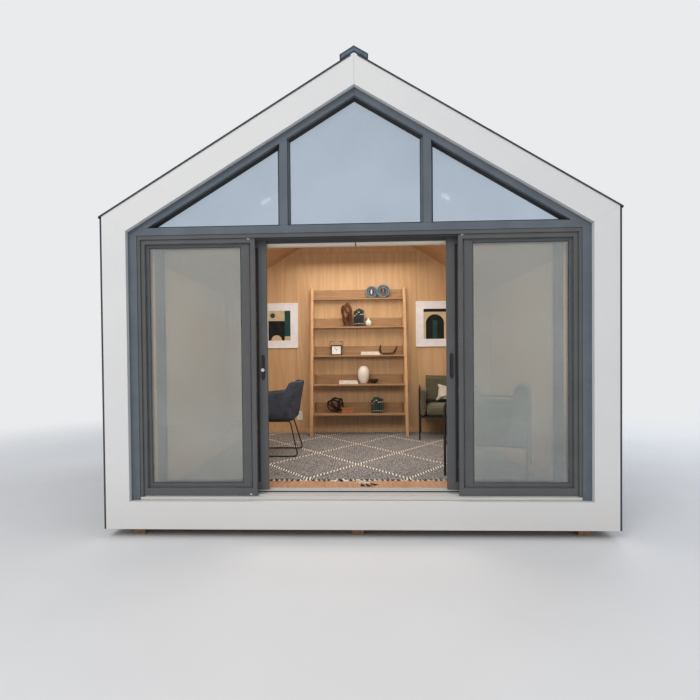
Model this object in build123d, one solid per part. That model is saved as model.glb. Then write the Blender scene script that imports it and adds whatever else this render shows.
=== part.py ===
from build123d import *
import math
import os

# Garden office pod: a timber cabin with a gable roof, a glazed gable and centre-opening sliding doors.
# Millimetres, +Z up, the front looks along -Y, origin on the ground under the middle of the pod.
# In the helpers below y is counted from the front face of the white boards towards the back.

# Overall shell
BOARD_HALF = 1912.5      # half the width over the white corner boards
DEPTH = 3350.0           # front face of the white boards to the back face of the cladding
EAVE_Z = 2446.0          # outer corner of the white boards at the eaves
RIDGE_Z = 3598.0         # peak of the white rake boards
BOARD_GAP = 70.0         # ground to the bottom edge of boards and cladding

# Walls and roof
CLAD_T = 16.0
CORE_T = 105.0           # side walls
BACK_CORE_T = 111.0      # back wall
LINING_T = 12.0
ROOF_T = 238.0
SHINGLE_T = 10.0
VENT_SLOT = 25.0         # half the open slot at the ridge, under the cap

# Floor
SKID_H = 140.0
SKID_W = 90.0
SKID_INSET = 60.0
SKID_SIDE = 212.5        # side of the pod to the middle of each outer skid
REBATE_Z = 281.0         # ledge that walls, posts and door sill stand on
CASSETTE_Z = 326.0
FLOOR_T = 14.0
SKIRT_H = 60.0
SKIRT_T = 10.0

# White boards
BOARD_T = 44.0
POST_BOARD_W = 182.5
RAKE_BOARD_W = 199.0     # measured square to the slope
MITRE_GAP = 1.0

# Slate-grey gable frame
FRAME_BACK = 190.0       # back face of the frame members
POST_SHOW = 66.0         # width of each frame post inside its white board
RAFTER_OUT = 184.0       # outer edge of the frame rafters below the roof deck, square to the slope
TRANSOM_DROP = 7.0       # transom's underside below the corner where post and rafter meet
TRANSOM_H = 56.0
MULLION_IN = 507.0
MULLION_W = 58.0
PANE_T = 24.0
PANE_Y = 96.0
BITE = 12.0              # how far a pane sits in its frame

# Door unit: head, jambs and sill with three tracks
UNIT_FRONT = 50.0
WEB_T = 12.0
LIP_T = 6.0
FIN_T = 4.0
FIN_W = 24.0             # jamb, over web and fins
FIN_1 = 86.0
FIN_2 = 134.0
FRONT_LIP_H = 30.0
MID_FIN_H = 36.0
REAR_LIP_H = 49.0
SILL_FRONT_H = 22.0
SILL_MID_H = 34.0
SCREEN_RAIL_H = 4.0
DOOR_RAIL_H = 17.0
RAIL_W = 6.0
RUN_GAP = 0.3            # running gap between a runner and its rail
SHOE_L = 60.0
SHOE_INSET = 90.0

# Fixed panels, in the middle track
FIXED_PAST = 15.0        # how far a fixed panel reaches past the middle of its half
STILE_W = 66.0
BOTTOM_RAIL_H = 60.0
DOOR_PANE_T = 22.0
BEAD = 5.0               # splay of the glazing beads

# Sliding glass doors, in the inner track
DOOR_Y = 144.0
DOOR_T = 34.0
DOOR_LAP = 1.0           # a closed door reaches this far past the fixed panel's inner stile
DOOR_PROUD = 121.0       # an open door's leading edge stands this far inside the fixed panel
DOOR_HEAD_GAP = 8.0
DOOR_SHOE_H = 6.0
MEET = 3.0               # half the gap where the closed leaves meet

# Door pulls
HANDLE_W = 26.0
HANDLE_H = 196.0
HANDLE_Z = 1188.0
HANDLE_T = 20.0
HANDLE_INSET = 20.0
HANDLE_PLATE_T = 4.0
GRIP_W = 12.0
GRIP_T = 7.0
GRIP_FOOT = 18.0

# Sliding insect screens, in the outer track
SCREEN_Y = 62.0
SCREEN_T = 18.0
SCREEN_LAP = 8.0         # a closed screen reaches this far past the fixed panel's inner stile
SCREEN_PARK = 7.0        # an open screen to its jamb
SCREEN_HEAD_GAP = 10.0
SCREEN_SHOE_H = 3.0
SCREEN_STILE = 36.0
SCREEN_RAIL_TOP = 43.0
SCREEN_RAIL_BOTTOM = 58.0
SCREEN_BEAD = 4.0
MESH_T = 1.0
MESH_BITE = 6.0

# Roller blinds and lights
BLIND_D = 72.0
BLIND_H = 69.0
BLIND_ROUND = 20.0
BLIND_SPLIT = 6.0
LAMP_R = 52.0
LAMP_T = 6.0
LAMP_RIM = 8.0
LENS_DEPTH = 2.0
LAMP_X = 825.0
LAMP_FIRST = 920.0
LAMP_PITCH = 910.0
LAMP_ROWS = 2

# Roof edge and ridge cap
EDGE_T = 2.0
EDGE_CLEAR = 1.0         # drip leg to the trims behind it
EDGE_LEG = 10.0
EDGE_FLANGE = 50.0
SHINGLE_OUT = 4.0
CAP_HALF = 105.0
CAP_T = 32.0
BACK_TRIM_T = 3.0
BACK_TRIM_W = 90.0

# Leaning bookcase
CASE_W = 1268.0
CASE_SIDE = 1774.5       # middle of the bookcase to the right lining
CASE_H = 1962.0
CASE_LEAN = 340.0
CASE_POST_W = 35.0
CASE_POST_D = 60.0
SHELF_T = 20.0
SHELF_FIRST = 290.0
SHELF_PITCH = 381.0
SHELF_COUNT = 5
LIP_H = 120.0
LIP_D = 15.0
CHEEK_T = 15.0
POST_ROUND = 22.0

# Framed pictures
PICTURE_W = 508.0
PICTURE_H = 610.0
PICTURE_T = 20.0
PICTURE_Z = 1497.0
PICTURE_X = 798.0        # near edge of each picture, from the middle
PICTURE_FACE = 16.0
PICTURE_RECESS = 8.0

# Rug
RUG_SIDE = 295.5         # rug to side lining
RUG_FRONT = 441.0
RUG_BACK = 41.0          # rug to back lining
RUG_T = 8.0

# Steel tubes of the chairs
TUBE_SIDES = 12

# Desk chair, facing the left wall
DESK_CHAIR_SIDE = 940.5  # middle of the chair to the left lining
DESK_CHAIR_FRONT = 1670.0
SHELL_SIZE = 560.0       # square plan at the top of the back
SHELL_ROUND = 150.0      # corner radius of that plan
SHELL_TAPER = 10.0
SHELL_T = 32.0
SHELL_EDGE = 30.0        # bevel under the shell
SHELL_FOOT_Z = 360.0     # heights above the rug
ARM_TIP_Z = 635.0
ARM_ROOT_Z = 668.0
SHELL_TOP_Z = 775.0
ARM_REACH = 80.0         # where the arms turn up into the back, behind the middle
BACK_TIP = 208.0         # where the back's rim levels out
SLED_R = 7.0
SLED_HALF = 250.0        # half the track of the runners
SLED_REACH = 245.0       # half the length of the runners
SLED_TOP_HALF = 150.0
SLED_TOP_REACH = 156.0
SLED_BEND = 30.0
SLED_PLATE_W = 120.0
SLED_PLATE_T = 5.0

# Armchairs
ARM_W = 740.0
ARM_D = 680.0
ARM_H = 640.0
ARM_TUBE = 11.0
ARM_BEND = 60.0
ARM_RAIL = 275.0
RAIL_BAR_H = 20.0
RAIL_BAR_T = 10.0
DECK_T = 8.0
PAD_T = 60.0
PAD_ROUND = 20.0
SEAT_T = 130.0
SEAT_ROUND = 30.0
BACK_H = 380.0
BACK_T = 120.0
BACK_LEAN = 25.0
BACK_ROUND = 40.0
FAR_CHAIR_SIDE = 641.5   # middle of the chair to the right lining
FAR_CHAIR_BACK = 421.0   # middle of the chair to the back lining
FAR_CHAIR_TURN = -7.0
NEAR_CHAIR_SIDE = 621.5
NEAR_CHAIR_FRONT = 808.0
NEAR_CHAIR_TURN = -110.0

# Values that follow from the sizes above
FRONT = -DEPTH / 2
SLOPE = (RIDGE_Z - EAVE_Z) / BOARD_HALF
PITCH = math.degrees(math.atan(SLOPE))
COS = math.cos(math.radians(PITCH))
CORE_OUT = BOARD_HALF
CORE_IN = CORE_OUT - CORE_T
LINING_IN = CORE_IN - LINING_T
CLAD_OUT = CORE_OUT + CLAD_T
BACK_CORE_OUT = DEPTH - CLAD_T
BACK_CORE_IN = BACK_CORE_OUT - BACK_CORE_T
BACK_LINING_IN = BACK_CORE_IN - LINING_T
CEILING = ROOF_T + LINING_T
BOARD_IN = BOARD_HALF - POST_BOARD_W
POST_INNER = BOARD_IN - POST_SHOW
EDGE_OUT = BACK_TRIM_T + EDGE_CLEAR + EDGE_T
MULLION_OUT = MULLION_IN + MULLION_W
FLOOR_Z = CASSETTE_Z + FLOOR_T
RUG_Z = FLOOR_Z + RUG_T
CASE_X = LINING_IN - CASE_SIDE


def roof_z(x, drop):
    """Height of the line that lies drop below the roof deck, square to it."""
    return RIDGE_Z - SLOPE * abs(x) - drop / COS


# Heights and places in the door unit
TRANSOM_Z = roof_z(POST_INNER, CEILING) - TRANSOM_DROP
TRANSOM_TOP = TRANSOM_Z + TRANSOM_H
HEAD_Z = TRANSOM_Z - WEB_T
SILL_FRONT_Z = REBATE_Z + SILL_FRONT_H
SILL_MID_Z = REBATE_Z + SILL_MID_H
SCREEN_RAIL_Z = SILL_FRONT_Z + SCREEN_RAIL_H
DOOR_RAIL_Z = SILL_MID_Z + DOOR_RAIL_H
JAMB = POST_INNER - WEB_T
FIXED_EDGE = JAMB / 2 - FIXED_PAST
DOOR_W = FIXED_EDGE + STILE_W + DOOR_LAP - MEET
DOOR_OPEN = FIXED_EDGE - DOOR_PROUD
DOOR_BOTTOM = DOOR_RAIL_Z + DOOR_SHOE_H
DOOR_TOP = HEAD_Z - DOOR_HEAD_GAP
GLASS_BOTTOM = DOOR_BOTTOM + BOTTOM_RAIL_H
GLASS_TOP = DOOR_TOP - STILE_W
SCREEN_W = FIXED_EDGE + STILE_W + SCREEN_LAP - MEET
SCREEN_OPEN = JAMB - SCREEN_PARK - SCREEN_W
SCREEN_BOTTOM = SCREEN_RAIL_Z + SCREEN_SHOE_H
SCREEN_TOP = HEAD_Z - SCREEN_HEAD_GAP


def slab(x0, x1, y0, y1, z0, z1):
    size = (x1 - x0, y1 - y0, z1 - z0)
    centre = ((x0 + x1) / 2, FRONT + (y0 + y1) / 2, (z0 + z1) / 2)
    return Pos(*centre) * Box(*size)


def front_shape(points, y0, y1):
    """Outline in x and z, pushed back from y0 to y1."""
    outline = Polyline(*[(x, FRONT + y0, z) for x, z in points], close=True)
    return extrude(make_face(outline), amount=y1 - y0, dir=(0, 1, 0))


def side_shape(points, x0, x1):
    """Outline in y and z, pushed across from x0 to x1."""
    outline = Polyline(*[(x0, FRONT + y, z) for y, z in points], close=True)
    return extrude(make_face(outline), amount=x1 - x0, dir=(1, 0, 0))


def plan_shape(points, z0, z1):
    """Outline in x and y, pushed up from z0 to z1."""
    outline = Polyline(*[(x, FRONT + y, z0) for x, y in points], close=True)
    return extrude(make_face(outline), amount=z1 - z0, dir=(0, 0, 1))


def roof_band(x0, x1, top, bottom, y0, y1):
    """Plumb-ended strip of the right slope between two depths below the deck."""
    points = [(x0, roof_z(x0, top)), (x1, roof_z(x1, top)), (x1, roof_z(x1, bottom)),
              (x0, roof_z(x0, bottom))]
    return front_shape(points, y0, y1)


def flip(shape):
    return mirror(shape, about=Plane.YZ)


def both(shape):
    return [shape, flip(shape)]


def save(name, solids):
    if not isinstance(solids, list):
        solids = [solids]
    parts = [s for shape in solids for s in shape.solids()]
    whole = parts[0] if len(parts) == 1 else Compound(children=parts)
    export_step(whole, f"parts/{name}.step")


os.makedirs("parts", exist_ok=True)


def floor():
    rim = slab(-CORE_OUT, CORE_OUT, BOARD_T, BACK_CORE_OUT, SKID_H, REBATE_Z)
    raised = slab(-CORE_IN, CORE_IN, FRAME_BACK, BACK_CORE_IN, REBATE_Z, CASSETTE_Z)
    save("floor_cassette", rim + raised)
    outer = BOARD_HALF - SKID_SIDE
    middles = (-outer, 0, outer)
    y0 = BOARD_T + SKID_INSET
    y1 = BACK_CORE_OUT - SKID_INSET
    save("floor_skids", [slab(x - SKID_W / 2, x + SKID_W / 2, y0, y1, 0, SKID_H) for x in middles])
    save("floor_boards", slab(-CORE_IN, CORE_IN, FRAME_BACK, BACK_CORE_IN, CASSETTE_Z, FLOOR_Z))


def walls():
    core = [(CORE_IN, REBATE_Z), (CORE_OUT, REBATE_Z), (CORE_OUT, roof_z(CORE_OUT, ROOF_T)),
            (CORE_IN, roof_z(CORE_IN, ROOF_T))]
    right = front_shape(core, BOARD_T, BACK_CORE_OUT)
    save("right_wall", right)
    save("left_wall", flip(right))
    gable = [(-CORE_IN, REBATE_Z), (CORE_IN, REBATE_Z), (CORE_IN, roof_z(CORE_IN, ROOF_T)),
             (0, roof_z(0, ROOF_T)), (-CORE_IN, roof_z(CORE_IN, ROOF_T))]
    save("back_wall", front_shape(gable, BACK_CORE_IN, BACK_CORE_OUT))


def cladding():
    side = [(CORE_OUT, BOARD_GAP), (CLAD_OUT, BOARD_GAP), (CLAD_OUT, roof_z(CLAD_OUT, 0)),
            (CORE_OUT, roof_z(CORE_OUT, 0))]
    save("side_cladding", both(front_shape(side, 0, DEPTH)))
    back = [(-CORE_OUT, BOARD_GAP), (CORE_OUT, BOARD_GAP), (CORE_OUT, roof_z(CORE_OUT, 0)),
            (0, roof_z(0, 0)), (-CORE_OUT, roof_z(CORE_OUT, 0))]
    save("back_cladding", front_shape(back, BACK_CORE_OUT, DEPTH))


def linings():
    side = [(LINING_IN, FLOOR_Z), (CORE_IN, FLOOR_Z), (CORE_IN, roof_z(CORE_IN, CEILING)),
            (LINING_IN, roof_z(LINING_IN, CEILING))]
    save("side_linings", both(front_shape(side, FRAME_BACK, BACK_CORE_IN)))
    back = [(-LINING_IN, FLOOR_Z), (LINING_IN, FLOOR_Z), (LINING_IN, roof_z(LINING_IN, CEILING)),
            (0, roof_z(0, CEILING)), (-LINING_IN, roof_z(LINING_IN, CEILING))]
    save("back_lining", front_shape(back, BACK_LINING_IN, BACK_CORE_IN))
    ceiling = roof_band(MITRE_GAP / 2, CORE_IN, ROOF_T, CEILING, FRAME_BACK, BACK_CORE_IN)
    save("ceiling_linings", both(ceiling))
    skirt = slab(-LINING_IN, LINING_IN, FRAME_BACK, BACK_LINING_IN, FLOOR_Z, FLOOR_Z + SKIRT_H)
    inner = LINING_IN - SKIRT_T
    skirt -= slab(-inner, inner, FRAME_BACK, BACK_LINING_IN - SKIRT_T, FLOOR_Z, FLOOR_Z + SKIRT_H)
    save("skirting", skirt)


def roof():
    panel = roof_band(0, CORE_OUT, 0, ROOF_T, BOARD_T, BACK_CORE_OUT)
    panel -= roof_band(0, CORE_IN, RAFTER_OUT, ROOF_T, BOARD_T, FRAME_BACK)
    save("right_roof_panel", panel)
    save("left_roof_panel", flip(panel))
    eave = CLAD_OUT + EDGE_OUT
    flange = roof_band(VENT_SLOT, eave, -EDGE_T, 0, -EDGE_OUT, DEPTH + EDGE_OUT)
    flange -= roof_band(0, eave - EDGE_FLANGE, -EDGE_T, 0, EDGE_FLANGE, DEPTH - EDGE_FLANGE)
    legs = roof_band(VENT_SLOT, eave, 0, EDGE_LEG, -EDGE_OUT, DEPTH + EDGE_OUT)
    legs -= roof_band(0, eave - EDGE_T, 0, EDGE_LEG, EDGE_T - EDGE_OUT, DEPTH + EDGE_OUT - EDGE_T)
    edge = flange + legs
    save("roof_edge_trims", both(edge))
    shingles = roof_band(VENT_SLOT, CLAD_OUT + SHINGLE_OUT, -SHINGLE_T, 0, -SHINGLE_OUT, DEPTH + SHINGLE_OUT)
    shingles -= roof_band(0, eave, 0, EDGE_LEG, -EDGE_OUT, DEPTH + EDGE_OUT)
    save("roof_shingles", both(shingles - edge))
    low = -SHINGLE_T
    high = -SHINGLE_T - CAP_T
    cap = [(-CAP_HALF, roof_z(CAP_HALF, low)), (0, roof_z(0, low)), (CAP_HALF, roof_z(CAP_HALF, low)),
           (CAP_HALF, roof_z(CAP_HALF, high)), (0, roof_z(0, high)), (-CAP_HALF, roof_z(CAP_HALF, high))]
    save("ridge_cap", front_shape(cap, -EDGE_OUT, DEPTH + EDGE_OUT))


def white_boards():
    inner_eave = roof_z(BOARD_IN, RAKE_BOARD_W)
    post = [(BOARD_HALF, BOARD_GAP), (BOARD_HALF, EAVE_Z), (BOARD_IN, inner_eave), (BOARD_IN, REBATE_Z)]
    save("post_boards", both(front_shape(post, 0, BOARD_T)))
    half = MITRE_GAP / 2
    rake = [(half, roof_z(half, 0)), (BOARD_HALF, EAVE_Z), (BOARD_IN, inner_eave),
            (half, roof_z(half, RAKE_BOARD_W))]
    save("rake_boards", both(front_shape(rake, 0, BOARD_T)))
    bottom = [(-BOARD_HALF, BOARD_GAP), (BOARD_HALF, BOARD_GAP), (BOARD_IN, REBATE_Z), (-BOARD_IN, REBATE_Z)]
    save("bottom_board", front_shape(bottom, 0, BOARD_T))


def back_trims():
    y0 = DEPTH
    y1 = DEPTH + BACK_TRIM_T
    inner = CLAD_OUT - BACK_TRIM_W
    post = [(inner, BOARD_GAP), (CLAD_OUT, BOARD_GAP), (CLAD_OUT, roof_z(CLAD_OUT, BACK_TRIM_W)),
            (inner, roof_z(inner, BACK_TRIM_W))]
    save("back_corner_trims", both(front_shape(post, y0, y1)))
    rake = roof_band(MITRE_GAP / 2, CLAD_OUT, 0, BACK_TRIM_W, y0, y1)
    save("back_rake_trims", both(rake))


def panes():
    """The three gable panes, with their edges inside the frame."""
    low = TRANSOM_TOP - BITE
    drop = CEILING - BITE
    side = MULLION_IN + BITE
    y1 = PANE_Y + PANE_T
    middle = front_shape([(-side, low), (side, low), (side, roof_z(side, drop)), (0, roof_z(0, drop)),
                          (-side, roof_z(side, drop))], PANE_Y, y1)
    near = MULLION_OUT - BITE
    tip = (roof_z(0, drop) - low) / SLOPE
    corner = front_shape([(near, low), (tip, low), (near, roof_z(near, drop))], PANE_Y, y1)
    return [middle] + both(corner)


def gable_frame():
    glass = panes()
    save("gable_glass", glass)

    def glazed(shape):
        for pane in glass:
            shape = shape - pane
        return shape

    post = [(POST_INNER, REBATE_Z), (CORE_IN, REBATE_Z), (CORE_IN, roof_z(CORE_IN, CEILING)),
            (POST_INNER, roof_z(POST_INNER, CEILING))]
    save("frame_posts", both(front_shape(post, BOARD_T, FRAME_BACK)))
    rafter = roof_band(MITRE_GAP / 2, CORE_IN, RAFTER_OUT, CEILING, BOARD_T, FRAME_BACK)
    save("gable_rafters", both(glazed(rafter)))
    transom = slab(-POST_INNER, POST_INNER, BOARD_T, FRAME_BACK, TRANSOM_Z, TRANSOM_TOP)
    above = roof_band(0, POST_INNER, 0, CEILING, BOARD_T, FRAME_BACK)
    save("gable_transom", glazed(transom - above - flip(above)))
    mullion = front_shape([(MULLION_IN, TRANSOM_TOP), (MULLION_OUT, TRANSOM_TOP),
                           (MULLION_OUT, roof_z(MULLION_OUT, CEILING)),
                           (MULLION_IN, roof_z(MULLION_IN, CEILING))], BOARD_T, FRAME_BACK)
    save("gable_mullions", both(glazed(mullion)))


def track_comb(depth_front, depth_mid, depth_rear):
    """Web and fins of a head or jamb, as offsets from the web's outer face against y."""
    points = [(0, UNIT_FRONT), (0, FRAME_BACK), (depth_rear, FRAME_BACK), (depth_rear, FRAME_BACK - LIP_T),
              (WEB_T, FRAME_BACK - LIP_T)]
    for fin in (FIN_2, FIN_1):
        points += [(WEB_T, fin + FIN_T), (depth_mid, fin + FIN_T), (depth_mid, fin), (WEB_T, fin)]
    front = UNIT_FRONT + LIP_T
    return points + [(WEB_T, front), (depth_front, front), (depth_front, UNIT_FRONT)]


def door_unit():
    head = side_shape([(y, TRANSOM_Z - d) for d, y in track_comb(FRONT_LIP_H, MID_FIN_H, REAR_LIP_H)],
                      -POST_INNER, POST_INNER)
    save("door_head", head)
    sill_points = [(UNIT_FRONT, REBATE_Z), (FRAME_BACK, REBATE_Z), (FRAME_BACK, FLOOR_Z),
                   (FRAME_BACK - LIP_T, FLOOR_Z), (FRAME_BACK - LIP_T, SILL_MID_Z)]
    door_mid = DOOR_Y + DOOR_T / 2
    sill_points += [(door_mid + RAIL_W / 2, SILL_MID_Z), (door_mid + RAIL_W / 2, DOOR_RAIL_Z),
                    (door_mid - RAIL_W / 2, DOOR_RAIL_Z), (door_mid - RAIL_W / 2, SILL_MID_Z)]
    screen_mid = SCREEN_Y + SCREEN_T / 2
    sill_points += [(FIN_1 + FIN_T, SILL_MID_Z), (FIN_1 + FIN_T, SILL_FRONT_Z),
                    (screen_mid + RAIL_W / 2, SILL_FRONT_Z), (screen_mid + RAIL_W / 2, SCREEN_RAIL_Z),
                    (screen_mid - RAIL_W / 2, SCREEN_RAIL_Z), (screen_mid - RAIL_W / 2, SILL_FRONT_Z),
                    (UNIT_FRONT, SILL_FRONT_Z)]
    sill = side_shape(sill_points, -POST_INNER, POST_INNER)
    save("door_sill", sill)
    plan = [(POST_INNER - d, y) for d, y in track_comb(FIN_W, FIN_W, FIN_W)]
    jamb = plan_shape(plan, REBATE_Z, TRANSOM_Z)
    save("door_jambs", both(jamb - head - sill))


def leaf(x0, x1, y0, y1, z0, z1, stile, glass_z0, glass_z1, bead, pane_y, pane_t, bite):
    """A framed leaf: the frame with its splayed beads and glazing groove, and the sheet that sits in it."""
    frame = slab(x0, x1, y0, y1, z0, z1) - slab(x0 + stile, x1 - stile, y0, y1, glass_z0, glass_z1)
    faces = frame.faces().sort_by(Axis.Y)
    rims = [edge for face in (faces[0], faces[-1]) for wire in face.inner_wires() for edge in wire.edges()]
    frame = chamfer(rims, bead)
    sheet = slab(x0 + stile - bite, x1 - stile + bite, pane_y, pane_y + pane_t,
                 glass_z0 - bite, glass_z1 + bite)
    return frame - sheet, sheet


def runners(x0, x1, track_y, z0, z1):
    """Two shoes under a leaf, just clear of the rail."""
    shoes = None
    for x in (x0 + SHOE_INSET, x1 - SHOE_INSET - SHOE_L):
        shoe = slab(x, x + SHOE_L, track_y - RAIL_W / 2, track_y + RAIL_W / 2, z0, z1)
        shoes = shoe if shoes is None else shoes + shoe
    return shoes


def fixed_panels():
    y0 = FIN_1 + FIN_T
    pane_y = (y0 + FIN_2 - PANE_T) / 2
    frame, sheet = leaf(FIXED_EDGE, JAMB, y0, FIN_2, SILL_MID_Z, HEAD_Z, STILE_W, GLASS_BOTTOM, GLASS_TOP,
                        BEAD, pane_y, PANE_T, BITE)
    save("fixed_panel_frames", both(frame))
    save("fixed_panel_glass", both(sheet))


def door_pull(x, face_y, outward):
    """A round-ended plate with a D-shaped grip, standing out from a stile."""
    middle_z = HANDLE_Z + HANDLE_H / 2
    plane = Plane(origin=(x + HANDLE_W / 2, FRONT + face_y, middle_z), x_dir=(0, 0, 1), z_dir=(0, outward, 0))
    plate = extrude(plane * SlotOverall(HANDLE_H, HANDLE_W), amount=HANDLE_PLATE_T)
    foot = HANDLE_H / 2 - GRIP_FOOT
    tip = HANDLE_T - GRIP_T
    grip = [(foot, 0), (foot, tip), (foot - tip, HANDLE_T), (tip - foot, HANDLE_T), (-foot, tip), (-foot, 0),
            (GRIP_T - foot, 0), (GRIP_T - foot, tip), (foot - GRIP_T, tip), (foot - GRIP_T, 0)]
    outline = Polyline(*[(x + (HANDLE_W - GRIP_W) / 2, FRONT + face_y + outward * d, middle_z + z)
                         for z, d in grip], close=True)
    return plate + extrude(make_face(outline), amount=GRIP_W, dir=(1, 0, 0))


def sliding_doors():
    pane_y = DOOR_Y + (DOOR_T - DOOR_PANE_T) / 2
    x1 = DOOR_OPEN + DOOR_W
    frame, sheet = leaf(DOOR_OPEN, x1, DOOR_Y, DOOR_Y + DOOR_T, DOOR_BOTTOM, DOOR_TOP, STILE_W, GLASS_BOTTOM,
                        GLASS_TOP, BEAD, pane_y, DOOR_PANE_T, BITE)
    frame += runners(DOOR_OPEN, x1, DOOR_Y + DOOR_T / 2, DOOR_RAIL_Z + RUN_GAP, DOOR_BOTTOM)
    outer = door_pull(DOOR_OPEN + HANDLE_INSET, DOOR_Y, -1)
    inner = door_pull(DOOR_OPEN + HANDLE_INSET, DOOR_Y + DOOR_T, 1)
    save("right_door_frame", frame)
    save("right_door_glass", sheet)
    save("right_door_handle", [outer, inner])
    save("left_door_frame", flip(frame))
    save("left_door_glass", flip(sheet))
    save("left_door_handle", [flip(outer), flip(inner)])


def screens():
    x1 = SCREEN_OPEN + SCREEN_W
    mesh_y = SCREEN_Y + (SCREEN_T - MESH_T) / 2
    frame, sheet = leaf(SCREEN_OPEN, x1, SCREEN_Y, SCREEN_Y + SCREEN_T, SCREEN_BOTTOM, SCREEN_TOP,
                        SCREEN_STILE, SCREEN_BOTTOM + SCREEN_RAIL_BOTTOM, SCREEN_TOP - SCREEN_RAIL_TOP,
                        SCREEN_BEAD, mesh_y, MESH_T, MESH_BITE)
    frame += runners(SCREEN_OPEN, x1, SCREEN_Y + SCREEN_T / 2, SCREEN_RAIL_Z + RUN_GAP, SCREEN_BOTTOM)
    save("right_screen_frame", frame)
    save("right_screen_mesh", sheet)
    save("left_screen_frame", flip(frame))
    save("left_screen_mesh", flip(sheet))


def blinds_and_lights():
    end = POST_INNER - FIN_W
    cassette = slab(BLIND_SPLIT, end, FRAME_BACK, FRAME_BACK + BLIND_D, TRANSOM_Z - BLIND_H, TRANSOM_Z)
    under = cassette.edges().filter_by(Axis.X).group_by(Axis.Z)[0]
    save("blind_cassettes", both(fillet(under, BLIND_ROUND)))
    lamp = Pos(0, 0, -LAMP_T / 2) * Cylinder(LAMP_R, LAMP_T)
    lamp -= Pos(0, 0, -LAMP_T) * Cylinder(LAMP_R - LAMP_RIM, 2 * LENS_DEPTH)
    lamps = []
    for i in range(LAMP_ROWS):
        y = LAMP_FIRST + i * LAMP_PITCH
        lamps += both(Location((LAMP_X, FRONT + y, roof_z(LAMP_X, CEILING)), (0, PITCH, 0)) * lamp)
    save("ceiling_lights", lamps)


def bookcase():
    wall = BACK_LINING_IN
    x0 = CASE_X - CASE_W / 2
    x1 = CASE_X + CASE_W / 2
    foot = wall - CASE_LEAN
    top = FLOOR_Z + CASE_H
    post = [(foot - CASE_POST_D, RUG_Z), (foot, RUG_Z), (wall, top), (wall - CASE_POST_D, top)]
    posts = []
    for x in (x0, x1 - CASE_POST_W):
        straight = side_shape(post, x, x + CASE_POST_W)
        posts.append(fillet(straight.edges().filter_by(Axis.X).group_by(Axis.Z)[-1], POST_ROUND))
    save("bookcase_posts", posts)

    def reach(height):
        """Wall to the front edge of the posts, at a height above the floor."""
        return CASE_POST_D + CASE_LEAN * (1 - height / CASE_H)

    shelves = []
    left = x0 + CASE_POST_W
    right = x1 - CASE_POST_W
    for i in range(SHELF_COUNT):
        height = SHELF_FIRST + i * SHELF_PITCH
        z1 = FLOOR_Z + height
        tray = slab(left, right, wall - reach(height), wall, z1 - SHELF_T, z1)
        tray += slab(left, right, wall - LIP_D, wall, z1, z1 + LIP_H)
        cheek = [(wall - reach(height), z1), (wall, z1), (wall, z1 + LIP_H),
                 (wall - reach(height + LIP_H), z1 + LIP_H)]
        tray += side_shape(cheek, left, left + CHEEK_T)
        tray += side_shape(cheek, right - CHEEK_T, right)
        shelves.append(tray)
    save("bookcase_shelves", shelves)


def pictures_and_rug():
    y0 = BACK_LINING_IN - PICTURE_T
    x1 = PICTURE_X + PICTURE_W
    z1 = PICTURE_Z + PICTURE_H
    picture = slab(PICTURE_X, x1, y0, BACK_LINING_IN, PICTURE_Z, z1)
    picture -= slab(PICTURE_X + PICTURE_FACE, x1 - PICTURE_FACE, y0, y0 + PICTURE_RECESS,
                    PICTURE_Z + PICTURE_FACE, z1 - PICTURE_FACE)
    save("wall_pictures", both(picture))
    half = LINING_IN - RUG_SIDE
    save("rug", slab(-half, half, RUG_FRONT, BACK_LINING_IN - RUG_BACK, FLOOR_Z, RUG_Z))


def tube(points, bend, radius):
    """Tube with TUBE_SIDES flats along a run of points: straight lengths joined by bent ones."""
    run = None
    across = (Vector(*points[1]) - Vector(*points[0])).cross(Vector(*points[2]) - Vector(*points[1]))
    for edge in FilletPolyline(*points, radius=bend).edges():
        start = edge.position_at(0)
        along = edge.tangent_at(0)
        ring = Plane(origin=start, x_dir=across, z_dir=along) * RegularPolygon(radius, TUBE_SIDES)
        if edge.geom_type == GeomType.LINE:
            piece = extrude(ring, amount=edge.length)
        else:
            centre = edge.arc_center
            turn = math.degrees(edge.length / bend)
            piece = revolve(ring, Axis(centre, (start - centre).cross(along)), turn)
        run = piece if run is None else run + piece
    return run


def shell_form(inset, foot):
    """Solid with rounded square plan that widens upwards, down to foot."""
    height = SHELL_TOP_Z - foot
    narrow = height * math.tan(math.radians(SHELL_TAPER))
    side = SHELL_SIZE - 2 * (inset + narrow)
    plan = RectangleRounded(side, side, SHELL_ROUND - inset - narrow)
    return extrude(Pos(0, 0, foot) * plan, amount=height, taper=-SHELL_TAPER)


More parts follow.
